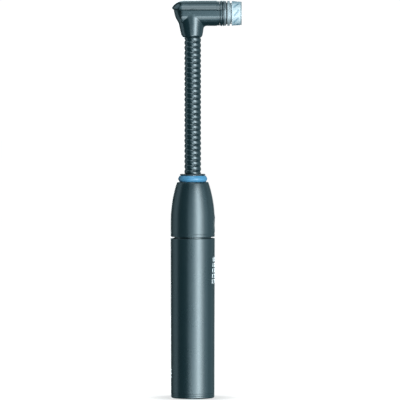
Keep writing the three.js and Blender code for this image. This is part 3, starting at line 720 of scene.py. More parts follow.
# %% Upper shell
SHELL_EDGE = 0.3
OGIVE_START, OGIVE_ARC = 100.0, 68.8
SHELL_MOUTH_R = 5.4
SHELL_WALL = 1.5
SHELL_BAND = 1.9  # height of the plain band at the foot
LIP_DROP, MOUTH_DEPTH = 0.5, 3.4
BORE_ARC_RISE, BORE_RISE = 18.5, 27.4  # the bore climbs this far, along this much of the ogive
SHELL_COLUMNS, POCKET_SQUEEZE = 280, 0.72  # columns round the shell, and how they crowd at the pocket
SHELL_SKIN = 1.2  # the pocket is pushed into points at most this far inside the outer wall
shell_r = shell_high[0]
button_low, button_high = span("power_button")
BUTTON_FLANGE = 0.6  # the CAD button's flange stands out this far round its face
button_width = button_high[1] - button_low[1] - 2 * BUTTON_FLANGE
button_length = button_high[2] - button_low[2] - 2 * BUTTON_FLANGE
button_z = (button_low[2] + button_high[2]) / 2
POCKET_GAP, POCKET_DEPTH, POCKET_WALL = 0.26, 1.15, 0.16


def ogive(height):
    """Outer radius: straight, then radius less (arc - sqrt(arc^2 - rise^2)) above the start."""
    rise = np.clip(height - OGIVE_START, 0, None)
    return shell_r - (OGIVE_ARC - np.sqrt(OGIVE_ARC**2 - rise**2))


def slot_distance(across, along, width, length):
    """Signed distance from a slot with round ends: to the nearest point of its straight middle, less half
    its width."""
    reach = (length - width) / 2
    beyond = np.abs(along) - np.clip(np.abs(along), 0, reach)
    return np.hypot(across, beyond) - width / 2


def smooth(low, high, value):
    """Smooth step from 0 at low to 1 at high."""
    t = np.clip((value - low) / (high - low), 0, 1)
    return t * t * (3 - 2 * t)


def upper_shell():
    top = shell_high[2]
    shoulder = ogive(np.array(top))
    rise = np.linspace(0, 1, 150)
    wall = np.linspace(shell_low[2] + SHELL_EDGE + SHELL_BAND, top - LIP_DROP, 150)
    foot = rounded(
        [
            (shell_r - SHELL_WALL, shell_low[2], 0.05),
            (shell_r, shell_low[2], SHELL_EDGE),
            *fine_line(shell_r, shell_low[2] + LINE_UP),
            (shell_r, shell_low[2] + SHELL_EDGE + SHELL_BAND, 0),
        ]
    )[6:]
    lip = rounded(
        [
            (shoulder + 0.13, top - LIP_DROP, 0),
            (shoulder - 0.05, top, 0.3),
            (SHELL_MOUTH_R, top, 0.1),
            (SHELL_MOUTH_R, top - MOUTH_DEPTH, 0.1),
        ]
    )[1:]
    inner_rise = rise[::-8]
    inner = np.stack(
        [
            ogive(OGIVE_START + BORE_ARC_RISE * inner_rise) - SHELL_WALL,
            shell_low[2] + BORE_RISE * inner_rise,
        ],
        axis=-1,
    )
    outer = np.stack([ogive(wall), wall], axis=-1)
    outline = np.concatenate([foot, outer[1:-1], lip, inner])
    # angles: close together across the pocket, which is centred on +X
    base = np.linspace(-np.pi, np.pi, SHELL_COLUMNS + 1)[:-1]
    squeeze = POCKET_SQUEEZE * np.sin(base)
    angle = np.repeat((base - squeeze)[None, :], len(outline), axis=0)
    radius = np.repeat(outline[:, :1], angle.shape[1], axis=1)
    height = np.repeat(outline[:, 1:2], angle.shape[1], axis=1)
    away = slot_distance(
        radius * np.sin(angle),
        height - button_z,
        button_width + 2 * POCKET_GAP,
        button_length + 2 * POCKET_GAP,
    )
    on_front = (np.cos(angle) > 0) & (radius > shell_r - SHELL_SKIN)
    sunk = POCKET_DEPTH * (1 - smooth(-POCKET_WALL, 0.0, away)) * on_front
    return build(
        "upper_shell_turned",
        around_z(radius - sunk, height, angle),
        casing,
        "upper",
        wrap_rows=True,
        stands_for=["upper_shell"],
    )


shell = upper_shell()
print("shell vertices:", len(shell.data.vertices))

# %% [markdown]
# ## Push-button
#
# A soft-touch key with round ends. Its face follows the shell's curve, stands a hair proud, rolls over at
# the rim and is dished where a finger rests, with a small raised bar above the dish to find it by feel.

# %% Button
BUTTON_PROUD, BUTTON_ROLL, ROLL_SHARE = 0.1, 0.55, 0.55
DISH_DEPTH, DISH_AT, DISH_TALL, DISH_WIDE = 0.16, -0.9, 2.1, 2.3
BAR_RAISE, BAR_AT, BAR_TALL, BAR_WIDE = 0.12, 3.3, 0.42, 1.7
BUTTON_ROOT_R = shell_r - 1.0


def push_button():
    """Rings of a slot shape, from its centre line out to its rim and round to the back. The face's height
    is the shell's radius plus crown, dish and bar."""
    rings = np.concatenate([np.linspace(0.02, 0.86, 20), np.linspace(0.9, 1.0, 10)])
    angle = np.linspace(0, 2 * np.pi, 128, endpoint=False)[None, :]
    half, reach = button_width / 2, (button_length - button_width) / 2
    share = rings[:, None]
    across = half * share * np.cos(angle)
    along = half * share * np.sin(angle) + reach * share * np.sign(np.sin(angle)) * (
        1 - (1 - np.abs(np.sin(angle))) ** 4
    )
    rim = half * (1 - share)
    roll = BUTTON_ROLL * (1 - np.sqrt(1 - (1 - np.clip(rim / BUTTON_ROLL, 0, 1)) ** 2)) * ROLL_SHARE
    dish = DISH_DEPTH * np.exp(-(((along - DISH_AT) / DISH_TALL) ** 2) - (across / DISH_WIDE) ** 2)
    bar = BAR_RAISE * np.exp(-(((along - BAR_AT) / BAR_TALL) ** 4) - (across / BAR_WIDE) ** 6)
    face = ogive(button_z + along) + BUTTON_PROUD - roll - dish + bar
    bow = face - np.sqrt(np.clip(face**2 - across**2, 0, None))
    front = np.stack([face - bow, across, button_z + along], axis=-1)
    back = front[::-1][::3].copy()
    back[..., 0] = np.sqrt(BUTTON_ROOT_R**2 - back[..., 1] ** 2)
    grid = np.concatenate([front, back])
    return build("power_button_key", grid, soft_grey, "button", stands_for=["power_button"], sharp_deg=60)


push_button()

# %% [markdown]
# ## Blue ring and neck nut
#
# The ring is a soft barrel section. Its outline is given by five corners with generous breaks. The nut is
# a thin dark washer with a knurl too fine to see from afar.

# %% Ring and nut
ring_low, ring_high = span("accent_ring")
nut_low, nut_high = span("neck_nut")
turned(
    "accent_ring_moulded",
    rounded(
        [
            (SHELL_MOUTH_R, ring_low[2] - 0.05, 0.05),
            (ring_high[0] - 0.75, ring_low[2] - 0.05, 0.3),
            (ring_high[0], ring_low[2] + 1.35, 1.1),
            (ring_high[0] - 0.05, ring_low[2] + 2.1, 0.8),
            (ring_high[0] - 0.85, ring_high[2] + 0.05, 0.45),
            (SHELL_MOUTH_R, ring_high[2] + 0.05, 0.05),
        ],
        steps=8,
    ),
    blue,
    "upper",
    wrap_rows=True,
    stands_for=["accent_ring"],
)


def knurled(radius, height, angle):
    """Radius with 72 shallow grooves round the rim."""
    return np.where(radius > nut_high[0] - 0.02, radius - 0.05 * (1 + np.cos(72 * angle)), radius)


turned(
    "neck_nut_knurled",
    ring_outline(nut_high[0], 4.8, nut_low[2], nut_high[2], edge=0.2),
    nut_finish,
    "upper",
    columns=432,
    shape=knurled,
    wrap_rows=True,
    stands_for=["neck_nut"],
)

# %% [markdown]
# ## Gooseneck
#
# The neck is wound from one wire, so its outside is a single helix of round ribs with sharp notches
# between them. A rib's section is a circular arc. Where a point lies along the pitch comes from its
# height plus its angle round the axis, which makes the winding left-handed.
#
# The CAD neck is a chain of links, with a hinge between each two. The wound surface is cut at the middle
# of each link, so that one length spans each hinge. The foot and top lengths sit on the end links; the
# lengths between sit on no link and stay as built, so when the hinges turn they stay put and leave the neck.

# %% Wound surface
NECK_R = span("neck_link_01")[1][0] + 0.04
RIB_PITCH = 2.906
RIB_ARC = 2.3
NOTCH_ROUND = 0.035  # share of the pitch over which the notch between two ribs is rounded
NECK_BORE = 2.3
ROWS_PER_LENGTH = 120
NECK_COLUMNS = 96


def wound(height, angle):
    """Outer radius of the neck: an arc of RIB_ARC over each pitch, highest in the middle of the rib, with
    the distance to the nearest notch rounded off as sqrt(distance^2 + NOTCH_ROUND^2)."""
    phase = np.mod(height / RIB_PITCH + angle / (2 * np.pi), 1.0) - 0.5
    from_notch = np.hypot(0.5 - np.abs(phase), NOTCH_ROUND)
    crown = np.sqrt(RIB_ARC**2 - (RIB_PITCH * (0.5 - from_notch)) ** 2)
    return NECK_R - RIB_ARC + crown


def neck_length(name, low, high, body, rows=ROWS_PER_LENGTH):
    """A length of the wound neck between two heights, with a plain bore."""
    up = np.linspace(low, high, rows)[:, None]
    angle = np.linspace(0, 2 * np.pi, NECK_COLUMNS, endpoint=False)[None, :]
    height = np.repeat(up, NECK_COLUMNS, axis=1)
    turns = np.repeat(angle, rows, axis=0)
    outside = around_z(wound(height, turns), height, turns)
    inside = around_z(np.full_like(height, NECK_BORE), height, turns)[::-6]
    return build(
        name, np.concatenate([outside, inside]), neck_finish, body, wrap_rows=True, sharp_deg=75
    )


def cable_length(name, low, high, body):
    """A length of the round cable inside the neck."""
    up = np.linspace(low, high, 14)[:, None]
    angle = np.linspace(0, 2 * np.pi, 16, endpoint=False)[None, :]
    height = np.repeat(up, 16, axis=1)
    radius = np.full_like(height, cable_r)
    return build(name, around_z(radius, height, np.repeat(angle, 14, axis=0)), cable_skin, body)


# %% [markdown]
# One length of neck and one of cable span each hinge, from the middle of one link to the middle of the
# next. Three lengths are listed as taken from the upper link down, which was found by trying both ways at
# the joints' limits and holds for no other pose; here they are baked in place on no link, like the others.

# %% Neck lengths
cable_low, cable_high = span("neck_cable")
cable_r = cable_high[0]
hinges = sorted(
    (j for j in frame["joints"] if j["name"].startswith("neck_")), key=lambda j: j["pos_m"][2]
)
pivots = [j["pos_m"][2] / MM for j in hinges]
pitch = pivots[1] - pivots[0]
links = [hinges[0]["parent"]] + [j["child"] for j in hinges]
link_nodes = ["neck_foot"] + [f"neck_{body}" for body in links[1:-1]] + ["neck_top"]
middles = [pivots[0] - pitch / 2] + [p + pitch / 2 for p in pivots]
neck_start = nut_high[2] - 0.4
neck_end = span("elbow_housing")[0][2] + 1.2

TAKEN_FROM_ABOVE = (4, 6, 8)

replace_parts(neck_length("neck_wound_foot", neck_start, middles[0], links[0], rows=64), "neck_foot")
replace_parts(cable_length("cable_foot", cable_low[2], middles[0], links[0]), "neck_cable")
for n, pivot in enumerate(pivots):
    for make, title in ((neck_length, "neck_wound"), (cable_length, "cable")):
        length = make(f"{title}_{n + 1:02d}", middles[n], middles[n + 1], None)
        if n in TAKEN_FROM_ABOVE:
            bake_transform(length)
        else:
            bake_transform(length)
        if make is neck_length:
            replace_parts(length, link_nodes[n + 1])
neck_length("neck_wound_top", middles[-1], neck_end, links[-1], rows=64)
cable_length("cable_top", middles[-1], cable_high[2], links[-1])
print("hinges:", len(pivots), "pitch in mm:", round(pitch, 3))

# %% [markdown]
# ## Elbow housing
#
# The housing is a casting: a stem that widens and leans back as it rises, a horizontal barrel with a
# round back, and a hood where the back overhangs the stem. Such a blend has no outline to turn. It is
# written instead as a field, a number that is negative inside and positive outside, with the stem and
# the barrel joined by a smooth minimum that leaves a fillet. The surface is then found by walking out
# from a bent centre line, along rays in planes square to it, until the field changes sign.

# %% The housing's field
BARREL_R = span("lens_collar")[1][1]
house_low, house_high = span("elbow_housing")
BARREL_BACK = house_low[0] + 0.02 + 6.76  # centre of the round back
BARREL_STEP_X, BARREL_STEP_R = 13.6, BARREL_R - 0.28
HOOD_TIP, HOOD_FRONT = np.array([-11.9, BARREL_Z + 2.5]), -6.4
HOOD_SLOPE = -0.218
STEM_CRISP_TO, STEM_SOFTNESS = 204.6, 1.3  # the foot's edge stays crisp, kinks above it are averaged out
# stem rings: height, reach to the back, reach to the front, half width
STEM = np.array(
    [
        (203.3, 4.9, 4.3, 4.8),
        (203.75, 5.7, 5.0, 5.4),
        (204.4, 6.15, 5.4, 5.85),
        (205.2, 6.55, 5.7, 6.1),
        (207.8, 7.15, 6.05, 6.5),
        (210.0, 7.6, 6.4, 6.95),
        (211.3, 7.85, 6.6, 7.02),
        (212.3, 8.25, 6.6, 7.03),
        (213.4, 9.1, 6.6, 7.04),
        (214.6, 9.75, 6.6, 7.04),
        (216.8, 10.3, 6.6, 7.0),
        (218.5, 10.65, 6.6, 6.8),
        (220.0, 11.0, 6.6, 6.4),
    ]
)


def smooth_minimum(a, b, size):
    """The smaller of two fields, rounded off where they are within size of each other."""
    h = np.clip(0.5 + 0.5 * (b - a) / size, 0, 1)
    return b * (1 - h) + a * h - size * h * (1 - h)


def stem_reach(z, column):
    """A column of the table at a height, averaged over heights round it so that no kink shows."""
    spread = STEM_SOFTNESS * np.clip(z - STEM_CRISP_TO, 0, 1)
    steps = (-1.0, -0.6, -0.2, 0.2, 0.6, 1.0)
    return sum(np.interp(z + step * spread, STEM[:, 0], STEM[:, column]) for step in steps) / len(steps)


def stem_field(x, y, z):
    """How far outside the stem's oval ring at that height a point is, scaled by the half width."""
    back, front, half = (stem_reach(z, column) for column in (1, 2, 3))
    reach = np.where(x < 0, back, front)
    oval = (np.hypot(x / reach, y / half) - 1) * half
    return np.maximum(oval, z - STEM[-1, 0])


def barrel_field(x, y, z):
    """A cylinder with a ball back, less the space under the hood."""
    behind = np.clip(BARREL_BACK - x, 0, None)
    across = np.hypot(y, z - BARREL_Z)
    radius = np.where(x > BARREL_STEP_X, BARREL_STEP_R, BARREL_R)
    body = np.hypot(behind, across) - radius
    hood_edge = HOOD_TIP[1] + HOOD_SLOPE * (x - HOOD_TIP[0])
    under_hood = np.maximum(x - HOOD_FRONT, z - hood_edge)
    return np.maximum(body, -under_hood)


def housing_field(x, y, z):
    """Stem and barrel joined: a wide fillet in front, underneath and near the middle, a tight one
    elsewhere."""
    fillet = 0.2 + 1.5 * smooth(2.0, 6.0, x) * (1 - smooth(1.5, 6.5, np.abs(y)))
    return smooth_minimum(stem_field(x, y, z), barrel_field(x, y, z), fillet)


# %% [markdown]
# A mesh could be taken from the field on a cube of cells, but its edges would be ragged. Rays from a bent
# centre line give even rows that follow the stem, the bend and the barrel, and stay crisp at the front.

# %% Walking out from the centre line
BEND = np.array([8.2, BARREL_Z - 8.9])  # the point that the centre line bends round, in x and z
BEND_R = 8.85
RAYS = 208
RAY_REACH, RAY_STEPS, HALVINGS = 18.0, 90, 30


def centre_line():
    """Centres and outward directions in the x-z plane: up the stem, round the bend, along the barrel."""
    lift = np.concatenate([np.linspace(STEM[0, 0] + 0.02, 205.5, 22), np.linspace(205.7, BEND[1] - 0.1, 12)])
    swing = np.radians(np.linspace(0, 90, 190))
    push = np.concatenate(
        [
            np.linspace(BEND[0] + 0.2, BARREL_STEP_X - 0.1, 14),
            BARREL_STEP_X + np.array([-0.03, 0.03, 0.1]),
            np.linspace(BARREL_STEP_X + 0.3, house_high[0], 8),
        ]
    )
    up = np.stack([np.full_like(lift, BEND[0] - BEND_R), lift], axis=-1)
    round_bend = BEND + BEND_R * np.stack([-np.cos(swing), np.sin(swing)], axis=-1)
    ahead = np.stack([push, np.full_like(push, BEND[1] + BEND_R)], axis=-1)
    centres = np.concatenate([up, round_bend, ahead])
    turn = np.concatenate([np.zeros_like(lift), swing, np.full_like(push, np.pi / 2)])
    outward = np.stack([-np.cos(turn), np.sin(turn)], axis=-1)
    return centres, outward


def elbow_housing():
    """First sign change of the field along each ray, by even steps and then by halving the last one."""
    centres, outward = centre_line()
    angle = np.linspace(0, 2 * np.pi, RAYS, endpoint=False)[None, :]
    way = np.stack(
        [
            outward[:, :1] * np.cos(angle),
            np.repeat(np.sin(angle), len(centres), axis=0),
            outward[:, 1:] * np.cos(angle),
        ],
        axis=-1,
    )
    origin = np.stack([centres[:, 0], np.zeros(len(centres)), centres[:, 1]], axis=-1)[:, None, :]
    steps = np.linspace(0, RAY_REACH, RAY_STEPS + 1)
    inside = np.ones(way.shape[:2], bool)
    near = np.zeros(way.shape[:2])
    for step in steps[1:]:
        spot = origin + way * step
        inside &= housing_field(*np.moveaxis(spot, -1, 0)) < 0
        near = np.where(inside, step, near)
    far = near + steps[1]
    for _ in range(HALVINGS):
        middle = (near + far) / 2
        spot = origin + way * middle[..., None]
        out = housing_field(*np.moveaxis(spot, -1, 0)) > 0
        far = np.where(out, middle, far)
        near = np.where(out, near, middle)
    grid = origin + way * near[..., None]
    return build(
        "elbow_housing_cast", grid, head_casing, "head", stands_for=["elbow_housing"], sharp_deg=50
    )


housing = elbow_housing()
print("housing vertices:", len(housing.data.vertices))

# %% [markdown]
# ## Rings at the front of the head
#
# A stack of turned rings: the dark collar, a light bevelled ring, a thin gasket, the bright ring with its
# narrow throat, and the tip's rim. Tiny breaks on each edge catch the light and separate them.


# %% Ring stack
def front_ring(name, corners, material, body, node, **options):
    turned(
        name, rounded(corners), material, body, about=around_x, wrap_rows=True, stands_for=[node], **options
    )


collar_low, collar_high = span("lens_collar")
bevel_low, bevel_high = span("bevel_ring")
gasket_low, gasket_high = span("tip_gasket")
socket_low, socket_high = span("tip_socket")
rod_low, rod_high = span("light_rod")
tip_low, tip_high = span("tip_cap")
rim_low, rim_high = span("tip_rim")
rod_r = rod_high[1]
STACK_BORE = rod_r + 0.55

front_ring(
    "lens_collar_turned",
    [
        (STACK_BORE + 1.2, collar_low[0], 0.05),
        (BARREL_R, collar_low[0], 0.4),
        (BARREL_R, collar_low[0] + 1.2, 0.05),
        (BARREL_R - 0.25, collar_low[0] + 1.5, 0.08),
        (BARREL_R, collar_low[0] + 1.8, 0.05),
        (BARREL_R, collar_high[0], 0.3),
        (STACK_BORE + 1.2, collar_high[0], 0.05),
    ],
    head_casing,
    "head",
    "lens_collar",
)
front_ring(
    "bevel_ring_turned",
    [
        (STACK_BORE, bevel_low[0] - 0.05, 0.05),
        (BARREL_R - 0.05, bevel_low[0] - 0.05, 0.1),
        (BARREL_R - 0.1, bevel_low[0] + 0.35, 0.2),
        (BARREL_R - 0.4, bevel_high[0], 0.12),
        (STACK_BORE, bevel_high[0], 0.05),
    ],
    dull_bright,
    "head",
    "bevel_ring",
)
front_ring(
    "tip_gasket_moulded",
    [
        (STACK_BORE, gasket_low[0] - 0.08, 0.05),
        (gasket_high[1], gasket_low[0] - 0.08, 0.1),
        (gasket_high[1], gasket_high[0] + 0.08, 0.1),
        (STACK_BORE, gasket_high[0] + 0.08, 0.05),
    ],
    rubber,
    "head",
    "tip_gasket",
)
SOCKET_RING_TO = socket_low[0] + 1.45
THROAT_R, SPIGOT_TIP_R = 6.0, 4.9
front_ring(
    "tip_socket_turned",
    [
        (rod_r + 0.25, socket_low[0], 0.05),
        (socket_high[1], socket_low[0], 0.22),
        (socket_high[1], SOCKET_RING_TO, 0.22),
        (THROAT_R, SOCKET_RING_TO, 0.12),
        (THROAT_R, tip_low[0] - 0.12, 0.1),
        (SPIGOT_TIP_R, tip_low[0] - 0.12, 0.05),
        (SPIGOT_TIP_R, socket_high[0], 0.2),
        (rod_r + 0.25, socket_high[0], 0.05),
    ],
    bright,
    "head",
    "tip_socket",
)
turned(
    "light_rod_ground",
    rounded(
        [(0, rod_low[0], 0), (rod_r, rod_low[0], 0.25), (rod_r, rod_high[0], 0.25), (0, rod_high[0], 0)],
        closed=False,
    )[1:-1],
    rod_glass,
    "head",
    about=around_x,
    columns=96,
    stands_for=["light_rod"],
)

# %% [markdown]
# ## Clear tip
#
# The tip is a moulded cup of clear blue plastic. Slanting flutes are moulded into its side, which break
# up the light and give a grip to pull it off. The flutes are a wave round the tip whose angle moves with
# the distance along it, faded out at both ends.

# %% Tip and rim
TIP_BORE_R, TIP_FLOOR = 5.2, 26.0
FLUTE_DEPTH = 0.16


def fluted(radius, along, angle):
    """Radius less slanting flutes: a raised cosine of the angle plus twist times distance, to a power."""
    wave = (0.5 + 0.5 * np.cos(FLUTES * (angle + FLUTE_TWIST * (along - tip_low[0])))) ** 3
    ahead = along - tip_low[0]
    rise = smooth(FLUTE_FROM, FLUTE_FROM + FLUTE_FADE, ahead)
    fade = rise * (1 - smooth(FLUTE_TO, FLUTE_TO + FLUTE_FADE, ahead))
    return np.where(radius > 6.4, radius - FLUTE_DEPTH * wave * fade, radius)


def tip_outline():
    back_r, front_r, rim_at = tip_high[1], rim_high[1], rim_low[0] - 0.12
    side = np.linspace(tip_low[0] + 0.55, rim_at - 0.15, 40)
    slope = np.interp(side, [tip_low[0], rim_at], [back_r, front_r])
    corners_back = rounded(
        [(TIP_BORE_R, tip_low[0], 0.1), (back_r, tip_low[0], 0.3), (back_r - 0.04, tip_low[0] + 0.6, 0)]
    )[7:-1]
    corners_front = rounded(
        [
            (front_r + 0.01, rim_at - 0.1, 0),
            (front_r, rim_at, 0.08),
            (5.45, rim_at, 0.05),
            (5.45, tip_high[0], 0.2),
            (0.02, tip_high[0] + 0.05, 0),
            (0.02, TIP_FLOOR, 0),
            (TIP_BORE_R, TIP_FLOOR, 0.2),
        ]
    )[1:]
    start = np.array([[TIP_BORE_R, tip_low[0] + 0.1]])
    return np.concatenate([start, corners_back, np.stack([slope, side], axis=-1), corners_front])


turned(
    "tip_cap_moulded",
    tip_outline(),
    clear_blue,
    "tip",
    about=around_x,
    columns=240,
    shape=fluted,
    wrap_rows=True,
    stands_for=["tip_cap"],
)
turned(
    "tip_rim_turned",
    ring_outline(rim_high[1], 5.6, rim_low[0] - 0.05, rim_high[0], edge=0.18),
    bright,
    "tip",
    about=around_x,
    wrap_rows=True,
    stands_for=["tip_rim"],
)

# %% [markdown]
# ## Printed marks
#
# The handle carries plain light marks below the button: a stack of bars that grows downwards, as a charge
# scale does, and three short dashes low on the other side. Each is a thin curved patch that follows the
# tube a hair above its surface, and its ink glows faintly as painted light.

# %% Marks
INK_THICKNESS = 0.03


def mark(name, z_low, z_high, half_angle, about_angle, radius):
    """A curved rectangular patch: rings of its outline shrunk towards its middle, front and back."""
    t = np.linspace(0, 1, 17)[:-1]
    one = np.ones_like(t)
    across = np.concatenate([2 * t - 1, one, 1 - 2 * t, -one])
    along = np.concatenate([-one, 2 * t - 1, one, 1 - 2 * t])
    share = np.array([0.02, 0.5, 0.97, 1.0])[:, None]
    angle = about_angle + half_angle * across * share
    height = (z_low + z_high) / 2 + (z_high - z_low) / 2 * along * share
    lift = np.array([1.0, 1.0, 1.0, 0.6])[:, None] * INK_THICKNESS
    front = around_z(radius + lift + 0 * angle, height, angle)
    back = around_z(radius - 0.02 + 0 * angle, height, angle)[::-1]
    return build(name, np.concatenate([front, back]), glowing_print_ink, "handle")


def tube_radius(height):
    """The tube's outer radius at a height, along its slight draft."""
    return np.interp(height, [tube_low[2], tube_high[2]], [tube_foot_r, tube_r])


MARK_FOOT, MARK_STEP, MARK_HEIGHT = 65.0, 3.08, 2.1
for n in range(5):
    foot = MARK_FOOT + n * MARK_STEP
    half_angle = math.radians(29 - 1.4 * n)
    radius = float(tube_radius(foot + MARK_HEIGHT / 2))
    mark(f"charge_bar_{n + 1}", foot, foot + MARK_HEIGHT, half_angle, 0.0, radius)
DASH_FOOT, DASH_STEP, DASH_HEIGHT = 11.5, 2.1, 0.8
for n in range(3):
    foot = DASH_FOOT + n * DASH_STEP
    radius = float(tube_radius(foot))
    dash = mark(f"rating_dash_{n + 1}", foot, foot + DASH_HEIGHT, math.radians(15), math.pi, radius)

# %% [markdown]
# ## Finishes of the inner parts
#
# The parts inside keep their CAD shapes, because no one sees more of them than a glimpse through a gap,
# but each still gets the finish that the real one has.

# %% Inner parts
inner_finishes = {
    rubber: ["base_seal"],
    spring_wire: ["battery_spring"],
    cell_wrap: ["battery_cell"],
    sleeve_plastic: ["insulating_sleeve"],
    board: ["contact_board", "driver_board", "led_board"],
    component: ["driver_chip", "driver_coil", "tact_switch"],
    brass: ["centre_contact"],
    bare: ["neck_ferrule", "heat_sink"],
    cable_skin: ["led_lead"],
    emitter: ["led_emitter"],
    bright: ["reflector"],
}
for material, nodes in inner_finishes.items():
    for node in nodes:
        piece = frame["nodes"][node]
        if piece.material_slots:
            piece.material_slots[0].material = material
        else:
            piece.data.materials.append(material)
# A CAD node that a finer piece stands for is hidden, and gets the casing's finish for completeness.
finished = {node for nodes in inner_finishes.values() for node in nodes}
for node, piece in frame["nodes"].items():
    if node not in finished and piece.material_slots:
        piece.material_slots[0].material = casing
print("inner parts finished:", len(finished))

# %% [markdown]
# ## Table and light
#
# The light stands on a pale table. The table takes no part in reflections, so the metal mirrors only the
# lamps, and it glows faintly so that it reads as near white, and less at the foot as a painted contact
# shadow.

# %% Table
FLOOR_SIZE = 12.0
floor_mesh = bpy.data.meshes.new("table_top")
side = FLOOR_SIZE / 2
floor_corners = [(-side, -side, 0), (side, -side, 0), (side, side, 0), (-side, side, 0)]
floor_mesh.from_pydata(floor_corners, [], [(0, 1, 2, 3)])
floor = bpy.data.objects.new("table_top", floor_mesh)
bpy.context.scene.collection.objects.link(floor)
floor.visible_glossy = False
floor.visible_diffuse = False
floor.visible_shadow = False
pale = bpy.data.materials.new("table_pale")
pale.use_nodes = True
set_shader(
    pale.node_tree.nodes["Principled BSDF"],
    Base_Color=(0.12, 0.115, 0.11, 1),
    Roughness=0.9,
    Specular_IOR_Level=0.1,
    Emission_Color=(1, 1, 1, 1),
)
# The table glows faintly near the foot and fully further off: a painted contact shadow at the foot.
spot = place(pale.node_tree, "ShaderNodeTexCoord").outputs["Object"]
reach = place(pale.node_tree, "ShaderNodeVectorMath", {0: spot}, operation="LENGTH").outputs["Value"]
glow_and_painted_shadow = place(
    pale.node_tree,
    "ShaderNodeMapRange",
    {"Value": reach, "From Min": 0.012, "From Max": 0.034, "To Min": 0.66, "To Max": 1.0},
    interpolation_type="SMOOTHSTEP",
)
pale.node_tree.links.new(
    glow_and_painted_shadow.outputs[0], pale.node_tree.nodes["Principled BSDF"].inputs["Emission Strength"]
)
floor_mesh.materials.append(pale)

# %% [markdown]
# The room adds a faint cool fill. The camera alone sees a white backdrop beyond the table.

# %% World
WORLD_FILL = 0.07
world = bpy.data.worlds.new("studio")
bpy.context.scene.world = world
world.use_nodes = True
world_tree = world.node_tree
world_tree.nodes["Background"].inputs["Color"].default_value = (0.57, 1.0, 0.96, 1)
world_tree.nodes["Background"].inputs["Strength"].default_value = WORLD_FILL
seen = place(world_tree, "ShaderNodeBackground", {"Color": (1, 1, 1, 1), "Strength": 1.05})
path = place(world_tree, "ShaderNodeLightPath")
choose = place(world_tree, "ShaderNodeMixShader", {0: path.outputs["Is Camera Ray"]})
world_tree.links.new(world_tree.nodes["Background"].outputs[0], choose.inputs[1])
world_tree.links.new(seen.outputs[0], choose.inputs[2])
world_tree.links.new(choose.outputs[0], world_tree.nodes["World Output"].inputs["Surface"])


# %% [markdown]
# The tube and shell mirror what stands round them. A row of tall strips makes one soft window to the right
# of the camera, whose strength is its peak / (1 + (angle from its middle / width)^2). Strips behind draw
# the thin lines at the tube's edges. The head's barrel lies across, so bars over and under the camera draw
# its two bands, and bars beyond the zenith its top edge. Two small panels reach the round back of the head.

# %% Soft panels
KEY_COLOUR = (0.82, 0.943, 1.0)
FILL_COLOUR = (0.64, 0.885, 1.0)  # the weak panels are tinted, which cools the dark sides


def panel(name, azimuth, elevation, distance, width, height, radiance, colour, at):
    """A rectangular lamp. Azimuth 0 is at the camera and grows to the right; radiance is power over pi
    times the area."""
    a, e = math.radians(azimuth), math.radians(elevation)
    away = Vector((math.sin(a) * math.cos(e), -math.cos(a) * math.cos(e), math.sin(e)))
    lamp = bpy.data.lights.new(name, "AREA")
    lamp.shape = "RECTANGLE"
    lamp.size, lamp.size_y = width, height
    lamp.energy = radiance * math.pi * width * height
    lamp.color = colour
    stand = bpy.data.objects.new(name, lamp)
    bpy.context.scene.collection.objects.link(stand)
    stand.location = Vector(at) + away * distance
    stand.rotation_mode = "QUATERNION"
    stand.rotation_quaternion = away.to_track_quat("Z", "Y")
    stand.visible_camera = False
    return stand


WINDOW_PEAK, WINDOW_MIDDLE, WINDOW_WIDTH = 10.7, 32, 14


def window(azimuth):
    """Radiance of the soft window: peak / (1 + ((azimuth - middle) / width)^2)."""
    return WINDOW_PEAK / (1 + ((azimuth - WINDOW_MIDDLE) / WINDOW_WIDTH) ** 2)


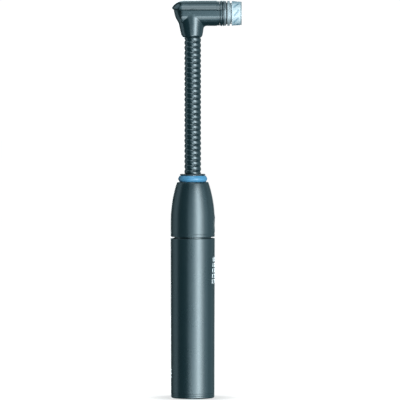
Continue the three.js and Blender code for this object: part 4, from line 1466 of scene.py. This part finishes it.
# name, azimuth or elevation, width in degrees, radiance
KEY_PANELS = [
    ("key_left", 18, 12, window(18)),
    ("key_core", 30, 12, window(30)),
    ("key_right", 42, 12, window(42)),
    ("key_edge_right", 54, 12, window(54)),
    ("rim_right", 165, 24, 0.6),
    ("rim_left", -172, 16, 3.2),
]
FILL_PANELS = [
    ("key_edge_left", 6, 12, window(6)),
    ("right_near", 72, 24, window(72)),
    ("right_side", 96, 24, window(96)),
    ("right_back", 120, 24, 0.5),
    ("right_far", 144, 24, window(144)),
    ("left_far", -150, 24, 0.1),
    ("left_back", -114, 24, 0.5),
    ("left_side", -94, 20, 0.7),
    ("front_fill", -12, 24, window(-12)),
]
KEY_BARS = [
    ("top_upper", 68, 14, 3.5),
    ("top_middle", 55, 12, 3.1),
    ("top_lower", 42, 12, 4.1),
    ("front_low", -13, 8, 0.3),
    ("low_upper", -32, 10, 4.6),
    ("low_middle", -43, 12, 4.0),
]
FILL_BARS = [
    ("sky", 84, 16, 1.9),
    ("low_soft", -55, 12, 2.5),
    ("low_deep", -72, 20, 0.5),
    ("behind_high", 108, 28, 0.7),
    ("behind_low", 140, 40, 0.9),
]
HEAD_CENTRE = (0, 0, BARREL_Z * MM)
TUBE_CENTRE = (0, 0, 0.11)
PANEL_DISTANCE, PANEL_HEIGHT = 0.8, 0.95
BAR_DISTANCE, BAR_LENGTH = 0.6, 0.24


def across(distance, degrees):
    """Width of a panel that covers an angle at a distance: 2 d tan(angle / 2)."""
    return 2 * distance * math.tan(math.radians(degrees / 2))


for panels, bars, colour in ((KEY_PANELS, KEY_BARS, KEY_COLOUR), (FILL_PANELS, FILL_BARS, FILL_COLOUR)):
    for name, azimuth, width, radiance in panels:
        size = across(PANEL_DISTANCE, width)
        panel(name, azimuth, 0, PANEL_DISTANCE, size, PANEL_HEIGHT, radiance, colour, TUBE_CENTRE)
    for name, elevation, width, radiance in bars:
        size = across(BAR_DISTANCE, width)
        panel(name, 0, elevation, BAR_DISTANCE, BAR_LENGTH, size, radiance, colour, HEAD_CENTRE)
panel("head_behind", -96, 46, BAR_DISTANCE, 0.46, 0.4, 1.1, FILL_COLOUR, HEAD_CENTRE)
panel("head_corner", -30, 54, BAR_DISTANCE, 0.24, 0.34, 1.5, FILL_COLOUR, HEAD_CENTRE)
print("lamps:", len(bpy.data.lights))

bpy.context.scene.view_settings.view_transform = "Standard"
bpy.context.scene.view_settings.look = "None"
